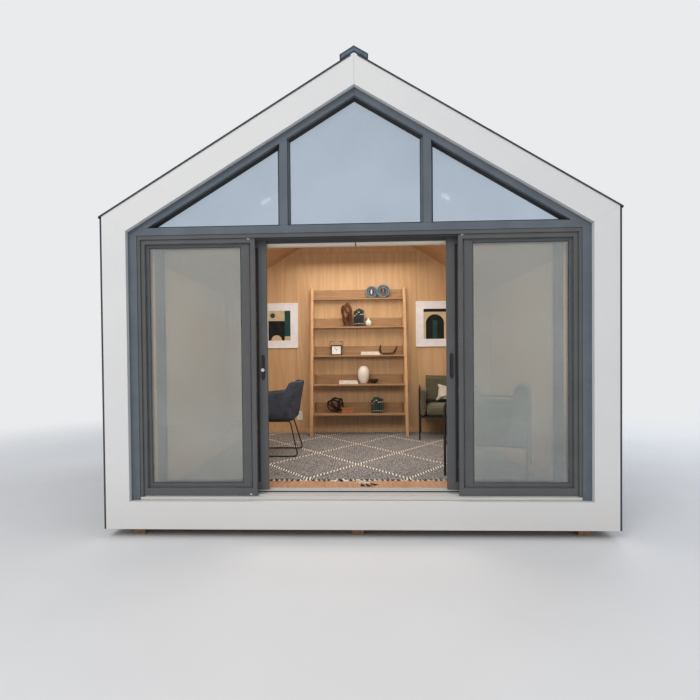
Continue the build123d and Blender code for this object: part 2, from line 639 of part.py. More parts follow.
def desk_chair():
    place = Pos(DESK_CHAIR_SIDE - LINING_IN, FRONT + DESK_CHAIR_FRONT, RUG_Z)
    outer = shell_form(0, SHELL_FOOT_Z)
    outer = chamfer(outer.faces().sort_by(Axis.Z)[0].edges(), SHELL_EDGE)
    shell = outer - shell_form(SHELL_T, SHELL_FOOT_Z + SHELL_T)
    half = SHELL_SIZE / 2
    above = SHELL_TOP_Z + SHELL_T
    arm = Line((-half, -half, ARM_TIP_Z), (ARM_REACH, -half, ARM_ROOT_Z))
    rise = Spline((ARM_REACH, -half, ARM_ROOT_Z), (BACK_TIP, -half, SHELL_TOP_Z),
                  tangents=[(half + ARM_REACH, 0, ARM_ROOT_Z - ARM_TIP_Z), (1, 0, 0)])
    rest = Polyline((BACK_TIP, -half, SHELL_TOP_Z), (half, -half, SHELL_TOP_Z), (half, -half, above),
                    (-half, -half, above), (-half, -half, ARM_TIP_Z))
    shell -= extrude(make_face([arm, rise, rest]), amount=SHELL_SIZE, dir=(0, 1, 0))
    save("desk_chair_shell", place * shell)

    top = SHELL_FOOT_Z - SLED_R - RUN_GAP
    sled = Pos(0, 0, top) * Box(SLED_PLATE_W, 2 * SLED_TOP_HALF, SLED_PLATE_T)
    for side in (-1, 1):
        high = side * SLED_TOP_HALF
        low = side * SLED_HALF
        for end in (-1, 1):
            points = [(0, high, top), (end * SLED_TOP_REACH, high, top), (end * SLED_REACH, low, SLED_R),
                      (0, low, SLED_R)]
            sled += tube(points, SLED_BEND, SLED_R)
    save("desk_chair_base", place * sled)


def rounded_bar(points, radius, length):
    """Cushion form: an outline in y and z with rounded corners, centred along x."""
    outline = Polyline(*[(-length / 2, y, z) for y, z in points], close=True)
    block = extrude(make_face(outline), amount=length, dir=(1, 0, 0))
    return fillet(block.edges().filter_by(Axis.X), radius)


def box_outline(y0, y1, z0, z1):
    return [(y0, z0), (y1, z0), (y1, z1), (y0, z1)]


def armchairs():
    half_w = ARM_W / 2 - ARM_TUBE
    half_d = ARM_D / 2 - ARM_TUBE
    top = ARM_H - ARM_TUBE
    loop = tube([(0, -half_d, 0), (0, -half_d, top), (0, half_d, top), (0, half_d, 0)], ARM_BEND, ARM_TUBE)
    loop += Pos(0, 0, ARM_RAIL) * Box(RAIL_BAR_T, 2 * half_d, RAIL_BAR_H)
    inner = half_w - ARM_TUBE - RUN_GAP
    deck = Pos(0, 0, ARM_RAIL) * Box(2 * inner, 2 * half_d, DECK_T)
    for y in (-half_d, half_d):
        deck += Pos(0, y, ARM_RAIL) * Box(2 * inner, RAIL_BAR_T, RAIL_BAR_H)
    low = ARM_RAIL + DECK_T / 2 + RUN_GAP
    deep = half_d - ARM_TUBE - RUN_GAP
    high = top - ARM_TUBE - RUN_GAP
    pad = Rot(0, 0, 90) * rounded_bar(box_outline(-PAD_T / 2, PAD_T / 2, low, high), PAD_ROUND, 2 * deep)
    between = 2 * (inner - PAD_T - RUN_GAP)
    seat_top = low + SEAT_T
    seat = rounded_bar(box_outline(-deep, deep, low, seat_top), SEAT_ROUND, between)
    back_z = seat_top + RUN_GAP
    leaning = [(deep - BACK_T, back_z), (deep, back_z), (deep + BACK_LEAN, back_z + BACK_H),
               (deep + BACK_LEAN - BACK_T, back_z + BACK_H)]
    back = rounded_bar(leaning, BACK_ROUND, between)
    side = inner - PAD_T / 2
    cushions = [Pos(-side, 0, 0) * pad, Pos(side, 0, 0) * pad, seat, back]
    far = (LINING_IN - FAR_CHAIR_SIDE, BACK_LINING_IN - FAR_CHAIR_BACK, FAR_CHAIR_TURN)
    near = (LINING_IN - NEAR_CHAIR_SIDE, NEAR_CHAIR_FRONT, NEAR_CHAIR_TURN)
    places = [Location((x, FRONT + y, RUG_Z), (0, 0, turn)) for x, y, turn in (far, near)]
    save("armchair_frames", [place * Pos(x, 0, 0) * loop for place in places for x in (-half_w, half_w)])
    save("armchair_decks", [place * deck for place in places])
    save("armchair_cushions", [place * piece for place in places for piece in cushions])


floor()
walls()
cladding()
linings()
roof()
white_boards()
back_trims()
gable_frame()
door_unit()
fixed_panels()
sliding_doors()
screens()
blinds_and_lights()
bookcase()
pictures_and_rug()
desk_chair()
armchairs()
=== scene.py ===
import math
import random

import bmesh
import bpy
from mathutils import Matrix, Vector, noise
from mathutils.bvhtree import BVHTree


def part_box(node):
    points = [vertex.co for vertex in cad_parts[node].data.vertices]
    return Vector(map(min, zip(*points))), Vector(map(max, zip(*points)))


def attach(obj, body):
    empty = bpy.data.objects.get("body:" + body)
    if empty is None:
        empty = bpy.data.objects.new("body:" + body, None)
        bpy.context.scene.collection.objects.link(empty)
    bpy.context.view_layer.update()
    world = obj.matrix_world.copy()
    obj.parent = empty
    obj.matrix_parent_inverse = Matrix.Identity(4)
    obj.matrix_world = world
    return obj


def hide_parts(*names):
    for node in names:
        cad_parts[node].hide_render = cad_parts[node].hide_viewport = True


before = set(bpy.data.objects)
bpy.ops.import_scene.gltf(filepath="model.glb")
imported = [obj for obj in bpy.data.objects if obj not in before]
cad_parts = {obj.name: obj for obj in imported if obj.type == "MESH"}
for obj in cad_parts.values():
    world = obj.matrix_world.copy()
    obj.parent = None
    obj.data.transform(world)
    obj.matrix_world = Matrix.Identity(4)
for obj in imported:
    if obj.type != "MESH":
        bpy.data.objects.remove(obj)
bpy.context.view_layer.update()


# View
# The camera stands in front of the doorway at eye height. The studio is a pale floor that fades into
# a pale background, with a large soft light from the front left, one from behind and an even sky.
CAMERA_AT = (0.0074, -5.5313, 1.3524)
YAW, PITCH, ROLL = -0.04207, 0.01612, -0.00959
FOCAL_PIXELS, FRAME_PIXELS = 520.0, 700.0
CENTRE_PIXELS = (335.69, 366.59)
SENSOR = 36.0
FADE_FROM, FADE_TO = 4.5, 9.0
FLOOR_RADIUS = 60
BACKGROUND = "#e9ebed"


def linear(code):
    """sRGB hex to the linear colour that a socket takes."""
    parts = [int(code[i:i + 2], 16) / 255 for i in (1, 3, 5)]
    return [c / 12.92 if c <= 0.04045 else ((c + 0.055) / 1.055) ** 2.4 for c in parts] + [1.0]


def add(tree, kind, feeds=None, **options):
    """Adds one node. A second word in kind is its operation or data type. feeds gives its sockets a
    value, a hex colour, or a link from a socket or from the first live output of a node."""
    kind, _, mode = kind.partition(" ")
    prefixes = ("ShaderNode", "GeometryNode", "FunctionNode", "")
    node = tree.nodes.new(next(p + kind for p in prefixes if hasattr(bpy.types, p + kind)))
    if mode:
        options["operation" if hasattr(node, "operation") else "data_type"] = mode
    for option, value in options.items():
        setattr(node, option, value)
    for socket, source in (feeds or {}).items():
        if isinstance(source, bpy.types.Node):
            source = next(out for out in source.outputs if out.enabled)
        if isinstance(source, bpy.types.NodeSocket):
            tree.links.new(source, node.inputs[socket])
        else:
            coloured = isinstance(source, str) and source.startswith("#")
            node.inputs[socket].default_value = linear(source) if coloured else source
    return node


def empty_material(name):
    """A new material, its empty node tree and its object coordinates."""
    material = bpy.data.materials.new(name)
    material.use_nodes = True
    tree = material.node_tree
    tree.nodes.clear()
    return material, tree, add(tree, "TexCoord").outputs["Object"]


def surface(tree, feeds):
    """Ends a material with its shader."""
    add(tree, "OutputMaterial", {"Surface": add(tree, "BsdfPrincipled", feeds)})


def placed(name, data):
    thing = bpy.data.objects.new(name, data)
    bpy.context.scene.collection.objects.link(thing)
    return thing


def meshed(name, bm):
    """Turns a mesh under construction into an object."""
    mesh = bpy.data.meshes.new(name)
    bm.to_mesh(mesh)
    bm.free()
    return placed(name, mesh)


camera = placed("camera", bpy.data.cameras.new("camera"))
bpy.context.scene.camera = camera
forward = Vector((math.sin(YAW) * math.cos(PITCH), math.cos(YAW) * math.cos(PITCH), -math.sin(PITCH)))
level = Vector((math.cos(YAW), -math.sin(YAW), 0))
upright = level.cross(forward)
right = level * math.cos(ROLL) + upright * math.sin(ROLL)
up = upright * math.cos(ROLL) - level * math.sin(ROLL)
camera.matrix_world = Matrix((right, up, -forward)).transposed().to_4x4()
camera.location = CAMERA_AT
camera.data.sensor_width = SENSOR
camera.data.lens = SENSOR * FOCAL_PIXELS / FRAME_PIXELS
camera.data.shift_x = (FRAME_PIXELS / 2 - CENTRE_PIXELS[0]) / FRAME_PIXELS
camera.data.shift_y = (CENTRE_PIXELS[1] - FRAME_PIXELS / 2) / FRAME_PIXELS
camera.data.clip_end = 200
bpy.context.scene.view_settings.view_transform = "Standard"


def looking_ray(tree):
    """One for a ray from the camera, through glass or off a mirror, which sees the background as it is."""
    ray = add(tree, "LightPath").outputs
    direct = add(tree, "Math MAXIMUM", {0: ray["Is Camera Ray"], 1: ray["Is Transmission Ray"]})
    return add(tree, "Math MAXIMUM", {0: direct, 1: ray["Is Glossy Ray"]})


world = bpy.data.worlds.new("studio")
bpy.context.scene.world = world
world.use_nodes = True
sky = world.node_tree
sky.nodes.clear()
fill = add(sky, "Background", {"Color": "#f2f5fa", "Strength": 0.72})
shown = add(sky, "Background", {"Color": BACKGROUND, "Strength": 1.0})
either = add(sky, "MixShader", {0: looking_ray(sky), 1: fill, 2: shown})
add(sky, "OutputWorld", {"Surface": either})


def area_light(name, at, towards, size, power, colour):
    data = bpy.data.lights.new(name, "AREA")
    data.shape = "RECTANGLE"
    data.size, data.size_y = size
    data.energy = power
    data.color = linear(colour)[:3]
    lamp = placed(name, data)
    lamp.location = at
    lamp.rotation_euler = (Vector(towards) - Vector(at)).to_track_quat("-Z", "Y").to_euler()
    lamp.visible_camera = False
    lamp.visible_glossy = False


area_light("key", (-3.4, -9.0, 6.8), (0, 0, 1.2), (5, 5), 390, "#fffaf3")
area_light("rim", (6.0, 6.0, 6.0), (0, 0, 1.5), (5, 5), 260, "#eef4ff")

bm = bmesh.new()
bmesh.ops.create_circle(bm, cap_ends=True, radius=FLOOR_RADIUS, segments=96)
studio_floor = meshed("studio_floor", bm)
material, tree, place = empty_material("pale studio floor")
away = add(tree, "VectorMath LENGTH", {0: place})
fade = add(tree, "MapRange", {"Value": away, "From Min": FADE_FROM, "From Max": FADE_TO},
           interpolation_type="SMOOTHSTEP")
share = add(tree, "Math MULTIPLY", {0: fade, 1: looking_ray(tree)})
grain = add(tree, "TexNoise", {"Vector": place, "Scale": 1.3, "Detail": 3.0})
tint = add(tree, "Mix RGBA", {0: grain, 6: "#dcdddf", 7: "#e4e5e6"})
matt = add(tree, "BsdfDiffuse", {"Color": tint})
glow = add(tree, "Emission", {"Color": BACKGROUND, "Strength": 1.0})
both = add(tree, "MixShader", {0: share, 1: matt, 2: glow})
add(tree, "OutputMaterial", {"Surface": both})
studio_floor.data.materials.append(material)


# Runners and floor platform
# Three treated softwood runners carry a boxed platform of the same timber, recessed behind the white
# foot board. Oak boards, laid from front to back, are nailed on top of it.
FLOOR_BOARD, FLOOR_JOINT = 0.140, 0.0008
OVER_ALL = 9.0
SHARP = math.radians(35)
WELD = 0.00002


def timber(name, pale, dark, along, ring=0.012, roughness=0.5, coat=0.0, saw=0.0):
    """Wood grain: drawn-out growth rings and fine fibres along one axis, shifted from board to board."""
    material, tree, place = empty_material(name)
    board = add(tree, "Attribute", attribute_name="tone").outputs
    shift = add(tree, "VectorMath MULTIPLY", {0: board["Vector"], 1: (7.3, 11.9, 5.7)})
    moved = add(tree, "VectorMath ADD", {0: place, 1: shift})
    scales = [[size if axis == along else 1.0 for axis in "XYZ"] for size in (0.09, 0.02)]
    drawn, thin = [add(tree, "Mapping", {"Vector": moved, "Scale": scale}) for scale in scales]
    field = add(tree, "TexNoise", {"Vector": drawn, "Scale": 0.16 / ring, "Detail": 1.5, "Roughness": 0.35})
    waves = add(tree, "Math MULTIPLY", {0: field, 1: 42.0})
    rings = add(tree, "Math SINE", {0: waves})
    ringed = add(tree, "MapRange", {"Value": rings, "From Min": -1.0, "To Max": 0.55})
    fibre = add(tree, "TexNoise", {"Vector": thin, "Scale": 320.0, "Detail": 4.0})
    streak = add(tree, "MapRange", {"Value": fibre, "From Min": 0.42, "From Max": 0.68, "To Max": 0.5})
    broad = add(tree, "TexNoise", {"Vector": drawn, "Scale": 4.0, "Detail": 2.0})
    fine = add(tree, "Math ADD", {0: ringed, 1: streak})
    mixed = add(tree, "Math MULTIPLY_ADD", {0: broad, 1: 0.7, 2: fine})
    whole = add(tree, "Math MULTIPLY_ADD", {0: board["Fac"], 1: 0.45, 2: mixed})
    depth = add(tree, "MapRange", {"Value": whole, "From Min": 0.25, "From Max": 1.9})
    colour = add(tree, "Mix RGBA", {0: depth, 6: pale, 7: dark})
    rough = add(tree, "MapRange", {"Value": fibre, "To Min": roughness - 0.06, "To Max": roughness + 0.10})
    relief = add(tree, "Math MULTIPLY_ADD", {0: fibre, 1: 0.6 + saw, 2: rings})
    bump = add(tree, "Bump", {"Height": relief, "Strength": 0.25 + 0.5 * saw,
                              "Distance": 0.0004 + 0.0012 * saw})
    surface(tree, {"Base Color": colour, "Roughness": rough, "Normal": bump, "Coat Weight": coat,
                   "Coat Roughness": 0.3, "IOR": 1.5})
    return material


def ease(piece, radius, segments=2):
    """Rounds a piece's sharp edges by a small radius."""
    round_off = piece.modifiers.new("eased edges", "BEVEL")
    round_off.width = radius
    round_off.segments = segments
    round_off.limit_method = "ANGLE"
    round_off.angle_limit = SHARP


def dress(nodes, material, edge=0.0):
    """Packed nodes keep their shape and get their finish, with their sharp edges eased."""
    for node in nodes.split():
        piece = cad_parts[node]
        piece.data.materials.clear()
        piece.data.materials.append(material)
        if edge:
            piece.modifiers.new("weld", "WELD").merge_threshold = WELD
            ease(piece, edge)


def settle(piece, slot, body="pod", stands_for=(), edge=0.0, segments=2, smooth=False):
    """Joins a finished piece to its body, with eased edges where asked."""
    if smooth:
        piece.data.shade_smooth()
    if edge:
        ease(piece, edge, segments)
    if stands_for:
        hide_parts(*stands_for)
    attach(piece, body)
    return piece


def evaluated(thing):
    """The mesh of an object with its modifiers applied."""
    bpy.context.view_layer.update()
    return bpy.data.meshes.new_from_object(thing.evaluated_get(bpy.context.evaluated_depsgraph_get()))


def group(name, inputs):
    """A new Geometry Nodes tree with these inputs and one mesh as its output."""
    tree = bpy.data.node_groups.new(name, "GeometryNodeTree")
    for label, kind in inputs.items():
        tree.interface.new_socket(label, in_out="INPUT", socket_type="NodeSocket" + kind)
    tree.interface.new_socket("Geometry", in_out="OUTPUT", socket_type="NodeSocketGeometry")
    return tree, add(tree, "NodeGroupInput").outputs


def toned(tree, copies, seed):
    """Gives each copy a random tone of its own and makes the copies real."""
    chance = add(tree, "RandomValue FLOAT", {"Seed": seed})
    marked = add(tree, "StoreNamedAttribute FLOAT", {"Geometry": copies, "Name": "tone", "Value": chance},
                 domain="INSTANCE")
    return add(tree, "RealizeInstances", {"Geometry": marked})


def finish_group(tree, mesh, material):
    painted = add(tree, "SetMaterial", {"Geometry": mesh, "Material": material})
    add(tree, "NodeGroupOutput", {0: painted})


def grown(name, tree, values):
    """Runs a Geometry Nodes tree with these inputs and returns its result as a plain mesh object."""
    base = placed(name + "_seed", bpy.data.meshes.new(name + "_seed"))
    work = base.modifiers.new("grown", "NODES")
    work.node_group = tree
    for item in tree.interface.items_tree:
        if item.in_out == "INPUT" and item.name in values:
            work[item.identifier] = values[item.name]
    base.update_tag()
    mesh = evaluated(base)
    bpy.data.objects.remove(base)
    return placed(name, mesh)


# A row of like boards: each is a box cut off under the roof line, with a tone of its own.
board_row, given = group("board row", {
    "Count": "Int", "First": "Vector", "Step": "Vector", "Size": "Vector", "Peak": "Float", "Slope": "Float",
    "Seed": "Int", "Material": "Material"})
tree = board_row
line = add(tree, "MeshLine", {"Count": given["Count"], "Start Location": given["First"],
                              "Offset": given["Step"]})
box = add(tree, "MeshCube", {"Size": given["Size"]})
copies = add(tree, "InstanceOnPoints", {"Points": line, "Instance": box})
real = toned(tree, copies, given["Seed"])
spot = add(tree, "SeparateXYZ", {0: add(tree, "InputPosition")}).outputs
side = add(tree, "Math ABSOLUTE", {0: spot["X"]})
fall = add(tree, "Math MULTIPLY", {0: side, 1: given["Slope"]})
roof = add(tree, "Math SUBTRACT", {0: given["Peak"], 1: fall})
lower = add(tree, "Math MINIMUM", {0: spot["Z"], 1: roof})
cut = add(tree, "CombineXYZ", {"X": spot["X"], "Y": spot["Y"], "Z": lower})
finish_group(tree, add(tree, "SetPosition", {"Geometry": real, "Position": cut}), given["Material"])

treated = timber("rough sawn treated softwood", "#a98a63", "#6f5638", "Y", ring=0.010, roughness=0.8, saw=1.0)
dress("floor_skids", treated, edge=0.003)
dress("floor_cassette", treated)
oiled_floor = timber("oiled oak floor", "#cba284", "#a0765a", "Y", ring=0.010, roughness=0.42, coat=0.15)
low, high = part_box("floor_boards")
size = high - low
count = round(size.x / FLOOR_BOARD)
pitch = size.x / count
boards = grown("oak_floor", board_row, {
    "Count": count, "First": (low.x + pitch / 2, (low.y + high.y) / 2, (low.z + high.z) / 2),
    "Step": (pitch, 0, 0), "Size": (pitch - FLOOR_JOINT, size.y, size.z), "Peak": OVER_ALL, "Slope": 0.0,
    "Seed": 3, "Material": oiled_floor})
settle(boards, "floor_oak", stands_for=["floor_boards"], edge=0.0012)


# Walls and linings
# Framed walls in a black breather membrane, lined inside with birch plywood sheets, 1220 mm wide, clear
# lacquered and pinned with a 2 mm joint between sheets. A plywood skirting closes the foot.
SHEET_JOINT, SHEET_WIDTH = 0.002, 1.220
BACK_JOINTS, BACK_SEAM, TALL_SEAM = (-0.820, 0.0, 0.815), 1.489, 2.780


def mottled(name, pale, dark, scale, detail, roughness, bump=(0.0, 0.001), drawn=(1, 1, 1), metallic=0.0):
    """Two close tones in a fine noise, which can be drawn out, with roughness between two limits."""
    material, tree, place = empty_material(name)
    mapped = add(tree, "Mapping", {"Vector": place, "Scale": drawn})
    fine = add(tree, "TexNoise", {"Vector": mapped, "Scale": scale, "Detail": detail})
    tint = add(tree, "Mix RGBA", {0: fine, 6: pale, 7: dark})
    rough = add(tree, "MapRange", {"Value": fine, "To Min": roughness[0], "To Max": roughness[1]})
    relief = add(tree, "Bump", {"Height": fine, "Strength": bump[0], "Distance": bump[1]})
    surface(tree, {"Base Color": tint, "Roughness": rough, "Normal": relief, "Metallic": metallic})
    return material


def cut_sheets(name, node, cells):
    """Copies a lining and cuts it into sheets: each cell lists the (point, direction) planes round it."""
    source = bmesh.new()
    source.from_mesh(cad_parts[node].data)
    bmesh.ops.remove_doubles(source, verts=source.verts, dist=WELD)
    whole = bmesh.new()
    tone = whole.verts.layers.float.new("tone")
    rng = random.Random(name)
    for planes in cells:
        part = source.copy()
        for point, direction in planes:
            every = part.verts[:] + part.edges[:] + part.faces[:]
            bmesh.ops.bisect_plane(part, geom=every, plane_co=point, plane_no=direction, clear_outer=True)
            bmesh.ops.holes_fill(part, edges=part.edges[:], sides=0)
        shade = rng.random()
        copies = {v: whole.verts.new(v.co) for v in part.verts}
        for v in copies.values():
            v[tone] = shade
        for face in part.faces:
            whole.faces.new([copies[v] for v in face.verts])
        part.free()
    bmesh.ops.dissolve_limit(whole, angle_limit=0.01, verts=whole.verts, edges=whole.edges)
    source.free()
    return meshed(name, whole)


def slices(axis, joints):
    """The plane pairs of each stretch between joints along an axis, each drawn back by half a joint."""
    unit = Vector([1.0 if a == axis else 0.0 for a in "XYZ"])
    ends = [None] + list(joints) + [None]
    for start, stop in zip(ends, ends[1:]):
        planes = []
        if start is not None:
            planes.append((unit * (start + SHEET_JOINT / 2), -unit))
        if stop is not None:
            planes.append((unit * (stop - SHEET_JOINT / 2), unit))
        yield planes


membrane = mottled("black breather membrane", "#121314", "#26282a", scale=260.0, detail=3.0,
                   roughness=(0.75, 0.75), bump=(0.3, 0.0005))
dress("left_wall right_wall back_wall left_roof_panel right_roof_panel", membrane)
ply_upright = timber("birch plywood, upright", "#ccaa83", "#b58f67", "Z", ring=0.030, roughness=0.42,
                     coat=0.12)
ply_sloping = timber("birch plywood, on the slope", "#c29c74", "#a67d56", "X", ring=0.030, roughness=0.42,
                     coat=0.12)
columns = list(slices("X", BACK_JOINTS))
back_cells = [columns[i] + z for i, seam in ((0, BACK_SEAM), (3, BACK_SEAM), (1, TALL_SEAM), (2, TALL_SEAM))
              for z in slices("Z", (seam,))]
low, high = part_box("side_linings")
joints = (high.y - 2 * SHEET_WIDTH, high.y - SHEET_WIDTH)
side_cells = [x + y for x in slices("X", (0.0,)) for y in slices("Y", joints)]
for label, node, cells, finish in (("back_wall_plywood", "back_lining", back_cells, ply_upright),
                                   ("side_wall_plywood", "side_linings", side_cells, ply_upright),
                                   ("ceiling_plywood", "ceiling_linings", side_cells, ply_sloping)):
    piece = cut_sheets(label, node, cells)
    piece.data.materials.append(finish)
    settle(piece, "birch_plywood", stands_for=[node], edge=0.0006)
dress("skirting", ply_upright, edge=0.0015)


# Outer cladding
# Vertical planks of pre-painted charcoal steel, 145 mm wide with an open joint, clipped over the
# membrane. Folded corner and verge trims of the same steel close the back gable.
PLANK, PLANK_GAP = 0.1456, 0.007
low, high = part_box("back_cladding")
ROOF_SLOPE = (high.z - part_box("side_cladding")[1].z) / high.x


def painted_metal(name, colour, dust, roughness=0.42, peel=0.004, metallic=0.0):
    """Paint on metal: faint orange peel, cloudy roughness and a breath of dust in broad patches."""
    material, tree, place = empty_material(name)
    board = add(tree, "Attribute", attribute_name="tone").outputs
    cloud = add(tree, "TexNoise", {"Vector": place, "Scale": 5.0, "Detail": 5.0, "Roughness": 0.6})
    wiped = add(tree, "MapRange", {"Value": cloud, "From Min": 0.40, "From Max": 0.75, "To Max": 0.35})
    veil = add(tree, "Math MULTIPLY_ADD", {0: board["Fac"], 1: 0.25, 2: wiped})
    tint = add(tree, "Mix RGBA", {0: veil, 6: colour, 7: dust})
    skin = add(tree, "TexNoise", {"Vector": place, "Scale": 1 / peel, "Detail": 2.0})
    rough = add(tree, "MapRange", {"Value": cloud, "To Min": roughness - 0.08, "To Max": roughness + 0.12})
    bump = add(tree, "Bump", {"Height": skin, "Strength": 0.12, "Distance": 0.0003})
    surface(tree, {"Base Color": tint, "Roughness": rough, "Normal": bump, "Metallic": metallic})
    return material


charcoal = painted_metal("pre-painted charcoal steel", "#2b2e31", "#44474a", roughness=0.5)
inner_low, inner_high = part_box("side_cladding")
depth = inner_high.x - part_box("right_wall")[1].x
# each wall's planks fill a box: name, node, the axis they stand along, low and high corner, seed
for label, node, axis, start, stop, seed in (
        ("back_cladding_planks", "back_cladding", 0, low, high, 11),
        ("right_cladding_planks", "side_cladding", 1,
         Vector((inner_high.x - depth, inner_low.y, inner_low.z)), inner_high, 12),
        ("left_cladding_planks", "side_cladding", 1,
         inner_low, Vector((inner_low.x + depth, inner_high.y, inner_high.z)), 13)):
    size = stop - start
    count = round(size[axis] / PLANK)
    pitch = size[axis] / count
    first, step = (start + stop) / 2, Vector((0, 0, 0))
    first[axis] = start[axis] + pitch / 2
    step[axis] = pitch
    size[axis] = pitch - PLANK_GAP
    planks = grown(label, board_row, {"Count": count, "First": first, "Step": step, "Size": size,
                                      "Peak": high.z, "Slope": ROOF_SLOPE, "Seed": seed,
                                      "Material": charcoal})
    settle(planks, "charcoal_cladding", stands_for=[node], edge=0.002)
dress("back_corner_trims back_rake_trims", charcoal, edge=0.0015)


# Roof covering
# Asphalt shingles with blue-grey mineral granules in courses of 143 mm, nailed from the eaves up. A dark
# steel drip edge finishes eaves and verges, and folded shingles lap along the vented ridge.
EXPOSURE, TAB, TAB_GAP, TAB_T, LAP, VERGE_BACK = 0.143, 0.305, 0.005, 0.0035, 0.030, 0.016
TAB_BACK, TAB_LIFT = 0.002, 0.002
UNDERLAY_FROM, UNDERLAY_BACK, UNDERLAY_FOOT, UNDERLAY_TOP = 0.04, 0.01, 0.0005, 0.0025
CAP_STEP, CAP_LAYER, CAP_JOINT, CAP_DROP = 0.150, 0.006, 0.0008, 0.0015
VENT_BACK, VENT_ENDS, VENT_FOOT, VENT_GAP = 0.008, 0.006, 0.010, 0.003
PITCH_ANGLE = math.atan(ROOF_SLOPE)


def granules(name, dark, pale):
    """Mineral granules of 1.5 mm in two tones over felt, with each tab a shade apart."""
    material, tree, place = empty_material(name)
    board = add(tree, "Attribute", attribute_name="tone").outputs
    # drawn three times too coarse, so that the grit shows at this distance
    grit = add(tree, "TexVoronoi", {"Vector": place, "Scale": 1 / 0.0045})
    patch = add(tree, "TexNoise", {"Vector": place, "Scale": 9.0, "Detail": 4.0})
    speck = add(tree, "SeparateColor", {"Color": grit.outputs["Color"]})
    blend = add(tree, "Math MULTIPLY_ADD", {0: speck, 1: 0.45, 2: patch})
    mixed = add(tree, "Math MULTIPLY_ADD", {0: board["Fac"], 1: 0.6, 2: blend})
    level = add(tree, "MapRange", {"Value": mixed, "From Min": 0.35, "From Max": 1.5})
    tint = add(tree, "Mix RGBA", {0: level, 6: dark, 7: pale})
    bump = add(tree, "Bump", {"Height": grit, "Strength": 0.5, "Distance": 0.001})
    surface(tree, {"Base Color": tint, "Roughness": 0.9, "Normal": bump})
    return material


slate_grit = granules("asphalt shingle with blue-grey granules", "#38414c", "#7f8ea0")

# One slope: tabs sit on points in courses, every second course moved by half a tab, each tipped so
# that it laps the one below, and all are cut flush with the verges.
shingle_field, given = group("shingle courses", {
    "Courses": "Int", "Tabs": "Int", "First": "Vector", "Course Step": "Vector", "Tab Pitch": "Float",
    "Tab Size": "Vector", "Tip": "Float", "Limit": "Float", "Seed": "Int", "Material": "Material"})
tree = shingle_field
points = add(tree, "Points", {"Count": add(tree, "Math MULTIPLY", {0: given["Courses"], 1: given["Tabs"]})})
index = add(tree, "InputIndex")
course = add(tree, "Math FLOOR", {0: add(tree, "Math DIVIDE", {0: index, 1: given["Tabs"]})})
place_in = add(tree, "Math MODULO", {0: index, 1: given["Tabs"]})
odd = add(tree, "Math MODULO", {0: course, 1: 2.0})
half = add(tree, "Math MULTIPLY_ADD", {0: odd, 1: 0.5, 2: place_in})
along = add(tree, "Math MULTIPLY", {0: half, 1: given["Tab Pitch"]})
down = add(tree, "VectorMath SCALE", {0: given["Course Step"], "Scale": course})
start = add(tree, "VectorMath ADD", {0: given["First"], 1: down})
at = add(tree, "VectorMath ADD", {0: start, 1: add(tree, "CombineXYZ", {"Y": along})})
laid = add(tree, "SetPosition", {"Geometry": points, "Position": at})
tab = add(tree, "MeshCube", {"Size": given["Tab Size"]})
lean = add(tree, "CombineXYZ", {"Y": given["Tip"]})
tabs = add(tree, "InstanceOnPoints", {"Points": laid, "Instance": tab, "Rotation": lean})
real = toned(tree, tabs, given["Seed"])
spot = add(tree, "SeparateXYZ", {0: add(tree, "InputPosition")}).outputs
least = add(tree, "Math MULTIPLY", {0: given["Limit"], 1: -1.0})
held = add(tree, "Clamp", {"Value": spot["Y"], "Min": least, "Max": given["Limit"]})
trim = add(tree, "CombineXYZ", {"X": spot["X"], "Y": held, "Z": spot["Z"]})
finish_group(tree, add(tree, "SetPosition", {"Geometry": real, "Position": trim}), given["Material"])

low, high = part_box("roof_shingles")
across = Vector((math.cos(PITCH_ANGLE), 0, -math.sin(PITCH_ANGLE)))
off = Vector((math.sin(PITCH_ANGLE), 0, math.cos(PITCH_ANGLE)))
deck_peak = Vector((0, 0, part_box("right_roof_panel")[1].z))
run = high.x / math.cos(PITCH_ANGLE)
tab_length = EXPOSURE + LAP
first = deck_peak + across * (run - tab_length / 2 - TAB_BACK) + off * (TAB_T / 2 + TAB_LIFT)
first.y = low.y - TAB / 4
for label, turn in (("right_roof_covering", 0), ("left_roof_covering", math.pi)):
    cover = grown(label, shingle_field, {
        "Courses": int(run / EXPOSURE), "Tabs": int((high.y - low.y) / TAB) + 2, "First": first,
        "Course Step": -across * EXPOSURE, "Tab Pitch": TAB, "Tab Size": (tab_length, TAB - TAB_GAP, TAB_T),
        "Tip": PITCH_ANGLE - TAB_T / tab_length, "Limit": high.y - VERGE_BACK, "Seed": 5 + int(turn),
        "Material": slate_grit})
    bm = bmesh.new()
    bm.from_mesh(cover.data)
    finish = bm.faces[:][0].material_index
    # a plain sheet of underlay closes the deck beneath the tabs
    under = bmesh.ops.create_cube(bm, size=1)["verts"]
    for face in {f for v in under for f in v.link_faces}:
        face.material_index = finish
    for v in under:
        along_slope = (v.co.x + 0.5) * (run - UNDERLAY_BACK - UNDERLAY_FROM) + UNDERLAY_FROM
        spot = deck_peak + across * along_slope + off * (UNDERLAY_FOOT if v.co.z < 0 else UNDERLAY_TOP)
        v.co = (spot.x, v.co.y * (high.y - low.y - 2 * VERGE_BACK), spot.z)
    slack = [f for f in bm.faces if f.calc_area() < 1e-9]
    bmesh.ops.delete(bm, geom=slack, context="FACES")
    bmesh.ops.rotate(bm, verts=bm.verts, cent=(0, 0, 0), matrix=Matrix.Rotation(turn, 3, "Z"))
    bm.to_mesh(cover.data)
    bm.free()
    settle(cover, "shingle", stands_for=["roof_shingles"])
dress("roof_edge_trims", charcoal, edge=0.0006)


